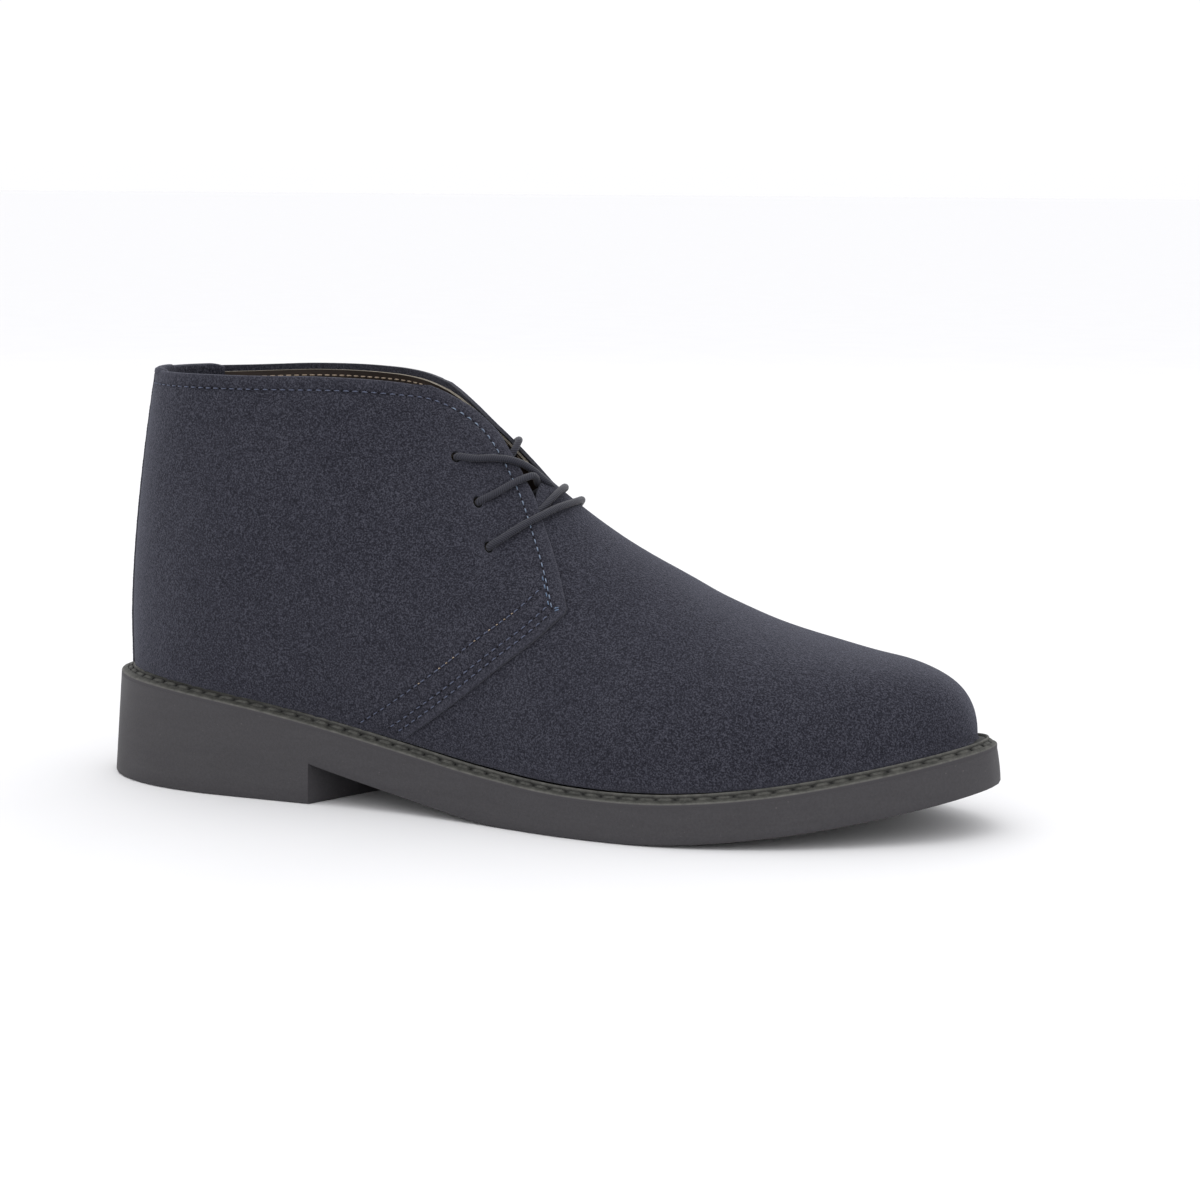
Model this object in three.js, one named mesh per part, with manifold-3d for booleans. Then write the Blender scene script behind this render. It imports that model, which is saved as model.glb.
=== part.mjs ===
// Chukka boot, right foot, standing empty on its sole.
// Millimetres. +X points to the toe, +Y to the inner side of the foot, +Z up.
// The origin is on the ground under the middle of the sole.
// "along" is the distance from the back of the heel, and side is -1 outside, +1 inside.
import * as THREE from 'three';
import { mergeVertices } from 'three/addons/utils/BufferGeometryUtils.js';
import Module from 'manifold-3d';

const wasm = await Module();
wasm.setup();

const OUTER = -1;
const INNER = 1;

// Driving sizes
const SOLE_LENGTH = 300;
const MIDDLE_X = SOLE_LENGTH / 2;
const MIDDLE_Y = -0.16;
const GAP = 0.3;

// Sole
const HEEL_ROUND = 60;
const TOE_ROUND = 75;
const HEEL_POWER = 2.4;
const TOE_POWER = 2.3;
const BREAST_ALONG = 88;
const ARCH_HEIGHT = 12.7;
const ARCH_POWER = 1.3;
const FLAT_START = 156;
const FLAT_END = 195;
const TOE_SPRING = 14.5;
const SPRING_POWER = 1.8;
const HEEL_FLARE = 2.6;
const FLARE_LENGTH = 150;
const WELT_THICK = 3.2;
const WELT_WIDTH = 11;
const WELT_DROP = 2;
const BED_SUNK = 1;

// Upper
const RIM = 5.5;
const WALL = 2.4;
const UPPER_START = 8.2;
const UPPER_END = 292.8;
const LAST_HEEL_ROUND = 55;
const LAST_TOE_ROUND = 70;
const TOE_BOX_START = 262;
const TOE_BOX_POWER = 2.4;
const TOE_BOX_ROUND = 2.2;
const LEAN_BASE = 50;
const LEAN_RISE = 80;
const LEAN = 9.6;
const LEAN_POWER = 1.5;
const LEAN_FADE = 75;
const DOME_START = 95;
const DOME_END = 125;
const DOME_SHOULDER = 0.6;

// Inside the upper
const INSOLE_THICK = 3;
const INSOLE_CLEAR = 0.7;
const TONGUE_THICK = 1.8;
const TONGUE_CLEAR = 0.4;
const TONGUE_BACK = 151;
const TONGUE_FRONT = 180;

// Eyelets and lace
const EYELET_RADIUS = 2;
const EYELET_REACH = 10;
const EYELET_SIDES = 10;
const LACE_RADIUS = 1.15;

// Limits of the cutting blocks, all clear of the boot except the throat's floor
const REACH = 80;
const ABOVE = 170;
const THROAT_FLOOR = 62;
const PAST = 2;
const LAST_PAST = 8;

// Steps of the numerical work: halvings of a search, and the span over which a slope is taken
const HALVINGS = 40;
const SLOPE_ALONG = 1;
const SLOPE_SHARE = 0.02;
const NEAR_RIDGE = 0.98;

// Sole widths each side of the middle line, the middle line's own curve, and the height of the
// top of the sole, which is where the upper starts.
const SOLE = [
  { along: 0, outer: 37, inner: 36.5, middle: 0, top: 36.3 },
  { along: 30, outer: 37.5, inner: 36.5, middle: 0, top: 34.8 },
  { along: 60, outer: 38.2, inner: 35.5, middle: 0, top: 31.7 },
  { along: 90, outer: 39.2, inner: 32, middle: 0, top: 27.2 },
  { along: 120, outer: 41, inner: 30.5, middle: 0, top: 21.8 },
  { along: 150, outer: 45.8, inner: 37, middle: 0, top: 17.2 },
  { along: 180, outer: 52.3, inner: 47, middle: 0.2, top: 14.9 },
  { along: 210, outer: 54.5, inner: 51.8, middle: 1.2, top: 15 },
  { along: 240, outer: 49.7, inner: 49, middle: 3.3, top: 17.6 },
  { along: 270, outer: 42.5, inner: 43, middle: 5.8, top: 22.4 },
  { along: 300, outer: 36, inner: 35, middle: 8, top: 28.6 },
];

// Sections of the upper. crown is the height of its top line, ridge that line's own curve and
// open the half width left at the top of the shaft. outer and inner are how far each wall bulges
// past the sole line, belly the height of that bulge as a share of the section, and shoulder and
// rise are the place where the wall turns over to the top.
const UPPER = table(
  [
    'along', 'crown', 'outer', 'inner', 'belly', 'shoulderOuter', 'shoulderInner',
    'rise', 'open', 'ridge',
  ],
  [
    [7, 150, 3, 3, 0.3, 32, 32, 0.72, 28.5, 0],
    [40, 150, 4, 4, 0.3, 30, 30, 0.72, 27.5, 0],
    [75, 150, 5.5, 6.5, 0.3, 29, 29, 0.72, 24.5, 0],
    [100, 146, 6, 9, 0.32, 26, 26, 0.76, 15, 0],
    [118, 133.5, 5.5, 9, 0.34, 20, 20, 0.86, 4.5, 0.4],
    [135, 119, 4.5, 8, 0.37, 17.5, 17, 0.96, 0, 1.2],
    [155, 101, 3.5, 6, 0.42, 20, 19, 1, 0, 2.2],
    [175, 86.6, 3.5, 4.5, 0.46, 25, 23, 1, 0, 3],
    [200, 73.2, 3.5, 3.5, 0.5, 30, 27, 1, 0, 4],
    [225, 61.8, 3, 3, 0.54, 31, 29, 1, 0, 4.8],
    [245, 56.2, 2.5, 2.5, 0.6, 30, 29, 1, 0, 5.6],
    [265, 52.2, 2, 2, 0.66, 27, 27, 1, 0, 6.4],
    [280, 51.5, 1.5, 1.5, 0.7, 24, 24, 1, 0, 7],
    [293, 53.5, 1, 1, 0.7, 22, 22, 1, 0, 7.5],
  ],
);

// Top edge of the shaft seen from the side, from the back of the collar to the throat.
const TOPLINE = [
  { along: -10, height: 134.6 },
  { along: 60, height: 134.6 },
  { along: 90, height: 134.6 },
  { along: 100, height: 134.2 },
  { along: 108, height: 133.2 },
  { along: 115, height: 131.2 },
  { along: 121, height: 128.7 },
  { along: 127, height: 125.4 },
];

// Half of the throat opening seen from above: the facings almost meet below the collar and part
// over the tongue.
const THROAT = [
  { along: 112, half: 3 },
  { along: 119, half: 2 },
  { along: 126, half: 1.3 },
  { along: 136, half: 1.2 },
  { along: 141.5, half: 2.6 },
  { along: 146.5, half: 5.2 },
  { along: 152.5, half: 10.2 },
  { along: 159, half: 17 },
  { along: 163.5, half: 21 },
  { along: 166.5, half: 16 },
  { along: 168.5, half: 6 },
];

// Edge of the tongue as a share of the section's wall, from its free top to its hidden root.
const TONGUE = [
  { along: 151, share: 0.7 },
  { along: 160, share: 0.58 },
  { along: 170, share: 0.5 },
  { along: 180, share: 0.5 },
];

// Eyelets, top first: place along the boot and height.
const EYELETS = [
  { along: 129, height: 109.8 },
  { along: 138, height: 96.4 },
  { along: 144, height: 83.2 },
];

// Lace pieces: places along the boot and across it, and the lift of the cord's middle off the
// outside of the upper. A crossing has one strand as listed and one mirrored.
const LACE_LIFT = LACE_RADIUS + 0.4;
const BAR_ROUTE = [
  { along: 145.2, across: -22, lift: LACE_LIFT },
  { along: 150.5, across: -17.5, lift: LACE_LIFT },
  { along: 156, across: -12.5, lift: LACE_LIFT },
  { along: 160.3, across: -6, lift: LACE_LIFT },
  { along: 161.5, across: 1.5, lift: LACE_LIFT },
  { along: 160.3, across: 9, lift: LACE_LIFT },
  { along: 156, across: 15, lift: LACE_LIFT },
  { along: 150.5, across: 19.5, lift: LACE_LIFT },
  { along: 145.2, across: 24, lift: LACE_LIFT },
];
const CROSS_ROUTES = {
  lace_cross_middle: [
    { along: 139.8, across: -17, lift: LACE_LIFT },
    { along: 145, across: -12.5, lift: LACE_LIFT },
    { along: 150, across: -7, lift: LACE_LIFT },
    { along: 153, across: 0, lift: LACE_LIFT - 0.4 },
    { along: 155, across: 5, lift: LACE_LIFT - 0.8 },
  ],
  lace_cross_top: [
    { along: 131, across: -13.2, lift: LACE_LIFT },
    { along: 136.5, across: -9, lift: LACE_LIFT },
    { along: 142, across: -4.5, lift: LACE_LIFT },
    { along: 146, across: 0.5, lift: LACE_LIFT },
    { along: 148.5, across: 3, lift: LACE_LIFT - 0.4 },
  ],
};

// The rows of a table as objects that carry the columns' names.
function table(columns, rows) {
  return rows.map((row) => Object.fromEntries(columns.map((name, i) => [name, row[i]])));
}

// Returns a smooth function through the table's rows, flat outside them.
function curveThrough(rows, column) {
  const x = rows.map((row) => row.along);
  const y = rows.map((row) => row[column]);
  const step = x.slice(1).map((value, i) => value - x[i]);
  const rate = step.map((value, i) => (y[i + 1] - y[i]) / value);
  const slope = x.map((_, i) => {
    if (i === 0) return rate[0];
    if (i === rate.length) return rate[i - 1];
    return (rate[i - 1] * step[i] + rate[i] * step[i - 1]) / (step[i - 1] + step[i]);
  });
  return (along) => {
    const place = THREE.MathUtils.clamp(along, x[0], x[x.length - 1]);
    const i = Math.min(x.filter((value) => value <= place).length, step.length) - 1;
    const u = (place - x[i]) / step[i];
    const start = y[i] * (1 + 2 * u) * (1 - u) ** 2 + slope[i] * step[i] * u * (1 - u) ** 2;
    return start + y[i + 1] * u * u * (3 - 2 * u) - slope[i + 1] * step[i] * u * u * (1 - u);
  };
}

const soleTop = curveThrough(SOLE, 'top');
const middleLine = curveThrough(SOLE, 'middle');
const soleHalf = { [OUTER]: curveThrough(SOLE, 'outer'), [INNER]: curveThrough(SOLE, 'inner') };
const crown = curveThrough(UPPER, 'crown');
const ridge = curveThrough(UPPER, 'ridge');
const belly = curveThrough(UPPER, 'belly');
const rise = curveThrough(UPPER, 'rise');
const open = curveThrough(UPPER, 'open');
const bulge = { [OUTER]: curveThrough(UPPER, 'outer'), [INNER]: curveThrough(UPPER, 'inner') };
const shoulder = {
  [OUTER]: curveThrough(UPPER, 'shoulderOuter'),
  [INNER]: curveThrough(UPPER, 'shoulderInner'),
};

// Share of the full width left where the outline rounds off at the heel and the toe.
function endRound(along, start, end, heelRound, toeRound) {
  const heel = THREE.MathUtils.clamp((start + heelRound - along) / heelRound, 0, 1);
  const toe = THREE.MathUtils.clamp((along - end + toeRound) / toeRound, 0, 1);
  return Math.sqrt((1 - heel ** HEEL_POWER) * (1 - toe ** TOE_POWER));
}

// Sole outline drawn in by inset, and drawn in further by flare without moving its ends.
function soleEdge(along, side, inset, flare) {
  const round = endRound(along, inset, SOLE_LENGTH - inset, HEEL_ROUND, TOE_ROUND);
  return middleLine(along) + side * (soleHalf[side](along) - inset - flare) * round;
}

// Height of the sole's underside in front of the heel: arch, flat tread, then toe spring.
function soleBottom(along) {
  const arch = Math.max(FLAT_START - along, 0) / (FLAT_START - BREAST_ALONG);
  const spring = Math.max(along - FLAT_END, 0) / (SOLE_LENGTH - FLAT_END);
  return ARCH_HEIGHT * arch ** ARCH_POWER + TOE_SPRING * spring ** SPRING_POWER;
}

// How far the sole's edge has drawn in at a height, because the heel flares towards the ground.
function heelFlare(along, height) {
  const share = THREE.MathUtils.clamp(1 - along / FLARE_LENGTH, 0, 1);
  return HEEL_FLARE * share * (height / soleTop(0));
}

// Forward lean of the heel's back edge at a height.
function heelLean(height) {
  return LEAN * (Math.max(height - LEAN_BASE, 0) / LEAN_RISE) ** LEAN_POWER;
}

// A point of the upper's outside, or of a surface inset inside it. share runs from 0 at the sole
// to 1 at the top line.
function skin(along, share, side, inset) {
  const start = UPPER_START + inset;
  const end = UPPER_END - inset;
  const slope = (crown(along + SLOPE_ALONG) - crown(along - SLOPE_ALONG)) / (2 * SLOPE_ALONG);
  const dome = THREE.MathUtils.smoothstep(along, DOME_START, DOME_END);
  const drop = dome * inset * Math.hypot(1, slope);
  const round = endRound(along, start, end, LAST_HEEL_ROUND, LAST_TOE_ROUND);
  const toe = THREE.MathUtils.clamp((along - TOE_BOX_START) / (end - TOE_BOX_START), 0, 1);
  const toeDrop = (1 - toe ** TOE_BOX_POWER) ** (1 / TOE_BOX_ROUND);
  const foot = soleTop(along) + GAP;
  const height = Math.max(crown(along) - drop - foot, 1) * toeDrop;
  const shift = (ridge(along) - middleLine(along)) * side;
  const half = soleHalf[side](along) - RIM - inset;
  const across = [
    half * round,
    (half + bulge[side](along)) * round,
    (shoulder[side](along) - (1 - DOME_SHOULDER * dome) * inset) * round + shift,
    Math.max(open(along) - (1 - dome) * inset, 0) * round + shift,
  ];
  const up = [0, belly(along), rise(along), 1];
  const bezier = (p) => (1 - share) ** 3 * p[0] + 3 * (1 - share) ** 2 * share * p[1]
    + 3 * (1 - share) * share ** 2 * p[2] + share ** 3 * p[3];
  const z = foot + height * bezier(up);
  const fade = THREE.MathUtils.clamp(1 - (along - start) / LEAN_FADE, 0, 1) ** 2;
  const x = along + heelLean(z) * fade - MIDDLE_X;
  return [x, middleLine(along) + side * bezier(across) - MIDDLE_Y, z];
}

// Places along the boot, closer together where the ends round off.
function stations(start, end, heelRound, toeRound, counts) {
  const places = [];
  for (let i = 0; i < counts.heel; i += 1) {
    places.push(start + heelRound * (1 - Math.cos((Math.PI / 2) * (i / counts.heel))));
  }
  const from = start + heelRound;
  const to = end - toeRound;
  for (let i = 0; i <= counts.middle; i += 1) {
    places.push(from + (to - from) * (i / counts.middle));
  }
  for (let i = 1; i <= counts.toe; i += 1) {
    places.push(to + toeRound * Math.sin((Math.PI / 2) * (i / counts.toe)));
  }
  return places;
}

// Evenly spaced values from start to end, both included.
function spread(start, end, steps) {
  return Array.from({ length: steps + 1 }, (_, i) => start + (end - start) * (i / steps));
}

// A closed geometry as a solid that can be joined and cut.
function toSolid(geometry) {
  const bare = geometry.clone();
  bare.deleteAttribute('normal');
  bare.deleteAttribute('uv');
  const merged = mergeVertices(bare, 1e-4);
  const triangles = [];
  const index = merged.index.array;
  for (let i = 0; i < index.length; i += 3) {
    const [a, b, c] = index.slice(i, i + 3);
    if (a !== b && b !== c && c !== a) triangles.push(a, b, c);
  }
  return new wasm.Manifold(new wasm.Mesh({
    numProp: 3,
    vertProperties: new Float32Array(merged.attributes.position.array),
    triVerts: new Uint32Array(triangles),
  }));
}

// A closed solid through rings of points. The second half of a ring mirrors the first, so that
// the ends are closed by the strips between them.
function loft(rings) {
  const count = rings[0].length;
  const index = [];
  const quad = (a, b, c, d) => index.push(a, c, b, a, d, c);
  for (let ring = 0; ring + 1 < rings.length; ring += 1) {
    for (let k = 0; k < count; k += 1) {
      const next = (k + 1) % count;
      quad(ring * count + k, ring * count + next, (ring + 1) * count + next, (ring + 1) * count + k);
    }
  }
  const last = (rings.length - 1) * count;
  for (let k = 0; k + 1 < count / 2; k += 1) {
    quad(k, count - 1 - k, count - 2 - k, k + 1);
    quad(last + k, last + k + 1, last + count - 2 - k, last + count - 1 - k);
  }
  const geometry = new THREE.BufferGeometry();
  geometry.setAttribute('position', new THREE.Float32BufferAttribute(rings.flat(2), 3));
  geometry.setIndex(index);
  return toSolid(geometry);
}

// A solid of straight height between a flat outline's points, lying in the XY plane.
function prism(points, low, high) {
  const shape = new THREE.Shape(points.map(([x, y]) => new THREE.Vector2(x, y)));
  const geometry = new THREE.ExtrudeGeometry(shape, { depth: high - low, bevelEnabled: false });
  geometry.translate(0, 0, low);
  return toSolid(geometry);
}

// A point of the sole's edge at a height, drawn in by inset from the outline.
function solePoint(along, side, height, inset, step) {
  const flare = heelFlare(along, height);
  const shift = flare * THREE.MathUtils.clamp(1 - along / HEEL_ROUND, 0, 1);
  const edge = soleEdge(along, side, inset, flare + step);
  return [along + shift - MIDDLE_X, edge - MIDDLE_Y, height];
}

// A layer of the sole between two heights at each station, its edge drawn in by inset. The
// outermost stretch of its top, as wide as slope, falls by drop.
function soleLayer(places, low, high, inset, slope = 0, drop = 0) {
  const rings = places.map((along) => {
    const side = (sign) => [
      solePoint(along, sign, low(along), inset, 0),
      solePoint(along, sign, high(along) - drop, inset, 0),
      solePoint(along, sign, high(along), inset, slope),
    ];
    return [...side(OUTER), ...side(INNER).reverse()];
  });
  return loft(rings);
}

const SOLE_COUNTS = { heel: 12, middle: 18, toe: 14 };

function solePlaces(inset) {
  const length = SOLE_LENGTH - inset;
  return stations(inset, length, HEEL_ROUND, TOE_ROUND, SOLE_COUNTS);
}

// A bar across the whole width under a side view outline.
function sideBlock(outline) {
  const shape = new THREE.Shape(outline.map(([x, z]) => new THREE.Vector2(x, z)));
  const geometry = new THREE.ExtrudeGeometry(shape, { depth: 2 * REACH, bevelEnabled: false });
  geometry.rotateX(Math.PI / 2);
  geometry.translate(0, REACH, 0);
  return toSolid(geometry);
}

// The space under the sole between two places, as a side view outline below the given height.
function underSole(start, end) {
  const curve = spread(start, end, 12).map((along) => [along - MIDDLE_X, soleBottom(along)]);
  return sideBlock([[start - MIDDLE_X, -REACH], [end - MIDDLE_X, -REACH], ...curve.reverse()]);
}

// Moulded outsole and heel in one, with a raised bed inside the welt.
function makeOutsole() {
  const weltFoot = (along) => soleTop(along) - WELT_THICK - GAP;
  const block = soleLayer(solePlaces(0), () => 0, weltFoot, 0);
  const bedFoot = (along) => weltFoot(along) - BED_SUNK;
  const bed = soleLayer(solePlaces(WELT_WIDTH + GAP), bedFoot, soleTop, WELT_WIDTH + GAP);
  const arch = underSole(BREAST_ALONG, FLAT_START);
  const spring = underSole(FLAT_END, SOLE_LENGTH + PAST);
  return block.subtract(arch).subtract(spring).add(bed);
}

// Strip round the top of the sole that the upper is stitched to.
function makeWelt() {
  const bottom = (along) => soleTop(along) - WELT_THICK;
  const full = soleLayer(solePlaces(0), bottom, soleTop, 0, RIM, WELT_DROP);
  const hole = soleLayer(
    solePlaces(WELT_WIDTH),
    (along) => bottom(along) - PAST,
    (along) => soleTop(along) + PAST,
    WELT_WIDTH,
  );
  return full.subtract(hole);
}

const LAST_COUNTS = { heel: 11, middle: 24, toe: 13 };

function lastPlaces(inset) {
  const start = UPPER_START + inset;
  const end = UPPER_END - inset;
  return stations(start, end, LAST_HEEL_ROUND, LAST_TOE_ROUND, LAST_COUNTS);
}

// The closed form of the last, inset inside the upper's outside. depth carries it on below.
function lastForm(inset, depth) {
  const shares = spread(0, 1, 12);
  const rings = lastPlaces(inset).map((along) => {
    const wall = (side) => shares.map((share) => skin(along, share, side, inset));
    const below = (side) => {
      const [x, y, z] = skin(along, 0, side, inset);
      return [x, y, z - depth];
    };
    const outer = wall(OUTER);
    const inner = wall(INNER);
    if (depth > 0) {
      outer.unshift(below(OUTER));
      inner.unshift(below(INNER));
    }
    return [...outer, ...inner.reverse()];
  });
  return loft(rings);
}

// Everything above the top edge of the shaft.
function aboveTopline() {
  const height = curveThrough(TOPLINE, 'height');
  const first = TOPLINE[0].along;
  const last = TOPLINE[TOPLINE.length - 1].along;
  const edge = spread(first, last, 22).map((along) => [along - MIDDLE_X, height(along)]);
  return sideBlock([...edge, [last - MIDDLE_X, ABOVE], [first - MIDDLE_X, ABOVE]]);
}

// The throat opening between the facings, as a block cut down through the instep.
function throatBlock() {
  const half = curveThrough(THROAT, 'half');
  const places = spread(THROAT[0].along, THROAT[THROAT.length - 1].along, 30);
  const edge = (side) => places.map((along) => (
    [along - MIDDLE_X, ridge(along) + side * half(along) - MIDDLE_Y]
  ));
  return prism([...edge(OUTER), ...edge(INNER).reverse()], THROAT_FLOOR, ABOVE);
}

// The share of the wall at which a section reaches a height.
function shareAtHeight(along, height, side) {
  let low = 0;
  let high = 1;
  for (let i = 0; i < HALVINGS; i += 1) {
    const middle = (low + high) / 2;
    if (skin(along, middle, side, 0)[2] < height) low = middle;
    else high = middle;
  }
  return low;
}

// The outward direction of the upper's surface.
function outward(along, share, side) {
  const at = (a, s) => new THREE.Vector3(...skin(a, s, side, 0));
  const forward = at(along + SLOPE_ALONG, share).sub(at(along - SLOPE_ALONG, share));
  const upward = at(along, share + SLOPE_SHARE).sub(at(along, share - SLOPE_SHARE));
  return forward.cross(upward).multiplyScalar(-side).normalize();
}

// A short rod through the wall at an eyelet.
function eyeletRod(eyelet, side) {
  const share = shareAtHeight(eyelet.along, eyelet.height, side);
  const centre = new THREE.Vector3(...skin(eyelet.along, share, side, 0));
  const rod = new THREE.CylinderGeometry(
    EYELET_RADIUS,
    EYELET_RADIUS,
    EYELET_REACH,
    EYELET_SIDES,
  );
  const turn = new THREE.Quaternion().setFromUnitVectors(
    new THREE.Vector3(0, 1, 0),
    outward(eyelet.along, share, side),
  );
  rod.applyQuaternion(turn);
  rod.translate(centre.x, centre.y, centre.z);
  return toSolid(rod);
}

// Hollow upper, open at the collar, the throat and underneath.
function makeUpper() {
  let upper = lastForm(0, 0).subtract(lastForm(WALL, LAST_PAST));
  upper = upper.subtract(aboveTopline()).subtract(throatBlock());
  for (const eyelet of EYELETS) {
    for (const side of [OUTER, INNER]) upper = upper.subtract(eyeletRod(eyelet, side));
  }
  return upper;
}

// Flat insole on the sole's bed, inside the upper.
function makeInsole() {
  const inset = WALL + INSOLE_CLEAR;
  const rings = lastPlaces(inset).map((along) => {
    const corner = (side, lift) => {
      const [x, y, z] = skin(along, 0, side, inset);
      return [x, y, z + lift];
    };
    return [
      corner(OUTER, 0), corner(OUTER, INSOLE_THICK),
      corner(INNER, INSOLE_THICK), corner(INNER, 0),
    ];
  });
  return loft(rings);
}

// Tongue under the facings, following the inside of the upper.
function makeTongue() {
  const share = curveThrough(TONGUE, 'share');
  const near = WALL + TONGUE_CLEAR;
  const rings = spread(TONGUE_BACK, TONGUE_FRONT, 9).map((along) => {
    const layer = (inset) => [
      ...spread(share(along), 1, 7).map((s) => skin(along, s, OUTER, inset)),
      ...spread(1, share(along), 7).slice(1).map((s) => skin(along, s, INNER, inset)),
    ];
    return [...layer(near), ...layer(near + TONGUE_THICK).reverse()];
  });
  return loft(rings);
}

// A point over the outside of the upper, at a place along and across it.
function overSkin({ along, across, lift }) {
  const top = ridge(along);
  const side = across < top ? OUTER : INNER;
  let low = 0.2;
  let high = 1;
  for (let i = 0; i < HALVINGS; i += 1) {
    const middle = (low + high) / 2;
    const y = skin(along, middle, side, 0)[1] + MIDDLE_Y;
    if ((y - across) * side > 0) low = middle;
    else high = middle;
  }
  const point = new THREE.Vector3(...skin(along, low, side, 0));
  return point.addScaledVector(outward(along, Math.min(low, NEAR_RIDGE), side), lift);
}

// A round cord along points over the upper.
function cord(route) {
  const path = new THREE.CatmullRomCurve3(route.map(overSkin));
  const circle = new THREE.Shape().absarc(0, 0, LACE_RADIUS, 0, Math.PI * 2);
  const geometry = new THREE.ExtrudeGeometry(circle, {
    steps: route.length * 3,
    curveSegments: 4,
    bevelEnabled: false,
    extrudePath: path,
  });
  return toSolid(geometry);
}

// Two strands that cross over the ridge, the second one the mirror of the first.
function crossing(route) {
  const mirrored = route.map((stop) => ({
    ...stop,
    across: 2 * ridge(stop.along) - stop.across,
  }));
  return cord(route).add(cord(mirrored));
}

// A named mesh from a solid.
function finish(solid, name, look) {
  const { vertProperties, triVerts } = solid.getMesh();
  const geometry = new THREE.BufferGeometry();
  geometry.setAttribute('position', new THREE.BufferAttribute(vertProperties, 3));
  geometry.setIndex(new THREE.BufferAttribute(triVerts, 1));
  geometry.computeVertexNormals();
  const mesh = new THREE.Mesh(geometry, new THREE.MeshStandardMaterial(look));
  mesh.name = name;
  return mesh;
}

const SUEDE = { color: 0x3a3b43, roughness: 0.95, metalness: 0 };
const RUBBER = { color: 0x484649, roughness: 0.75, metalness: 0 };
const WELTING = { color: 0x403f3f, roughness: 0.8, metalness: 0 };
const LINING = { color: 0x3b2a22, roughness: 0.6, metalness: 0 };
const CORD = { color: 0x34353c, roughness: 0.7, metalness: 0 };

const boot = new THREE.Group();
boot.add(
  finish(makeOutsole(), 'outsole', RUBBER),
  finish(makeWelt(), 'welt', WELTING),
  finish(makeInsole(), 'insole', LINING),
  finish(makeUpper(), 'upper', SUEDE),
  finish(makeTongue(), 'tongue', SUEDE),
  finish(cord(BAR_ROUTE), 'lace_bar_bottom', CORD),
);
for (const [name, route] of Object.entries(CROSS_ROUTES)) {
  boot.add(finish(crossing(route), name, CORD));
}

export default boot;
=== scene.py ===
"""Looks of a chukka boot for the right foot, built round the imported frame.

Sizes are millimetres until a mesh is made. "along" is the distance from the back of the sole,
"side" is -1 for the outer and 1 for the inner side of the foot, and +Z is up. Panels of the upper
are cut out of a flat sheet (u, v) that lies round the last: u follows the boot and v goes up.
"""

import math

import bpy
import numpy as np
from mathutils import Matrix
from mathutils.geometry import delaunay_2d_cdt
from mathutils.kdtree import KDTree


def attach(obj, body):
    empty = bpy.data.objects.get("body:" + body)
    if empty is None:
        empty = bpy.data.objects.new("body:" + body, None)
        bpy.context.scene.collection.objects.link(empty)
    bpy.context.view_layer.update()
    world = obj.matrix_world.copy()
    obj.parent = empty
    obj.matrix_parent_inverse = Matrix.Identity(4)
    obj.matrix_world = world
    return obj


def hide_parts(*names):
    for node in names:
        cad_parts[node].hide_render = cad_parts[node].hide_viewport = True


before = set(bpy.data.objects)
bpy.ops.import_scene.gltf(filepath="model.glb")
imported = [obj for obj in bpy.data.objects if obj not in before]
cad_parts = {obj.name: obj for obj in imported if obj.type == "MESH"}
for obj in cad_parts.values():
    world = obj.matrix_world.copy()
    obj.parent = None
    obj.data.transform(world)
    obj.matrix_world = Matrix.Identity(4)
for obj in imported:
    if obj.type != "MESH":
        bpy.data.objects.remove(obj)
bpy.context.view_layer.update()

MM = 0.001
OUTER = -1
INNER = 1
BODY = "root"

# Sizes of the part, repeated from its source
SOLE_LENGTH = 300.0
MIDDLE_X = SOLE_LENGTH / 2
MIDDLE_Y = -0.16
HEEL_ROUND = 60.0
TOE_ROUND = 75.0
HEEL_POWER = 2.4
TOE_POWER = 2.3
BREAST_ALONG = 88.0
ARCH_HEIGHT = 12.7
ARCH_POWER = 1.3
FLAT_START = 156.0
FLAT_END = 195.0
TOE_SPRING = 14.5
SPRING_POWER = 1.8
HEEL_FLARE = 2.6
FLARE_LENGTH = 150.0
WELT_THICK = 3.2
WELT_WIDTH = 11.0
RIM = 5.5
FOOT_GAP = 0.3
UPPER_START = 8.2
UPPER_END = 292.8
LAST_HEEL_ROUND = 55.0
LAST_TOE_ROUND = 70.0
TOE_BOX_START = 262.0
TOE_BOX_POWER = 2.4
TOE_BOX_ROUND = 2.2
LEAN_BASE = 50.0
LEAN_RISE = 80.0
LEAN = 9.6
LEAN_FADE = 75.0
DOME_START = 95.0
DOME_END = 125.0
DOME_INSET = 0.6
INSOLE_THICK = 3.0
INSOLE_INSET = 3.1

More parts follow.
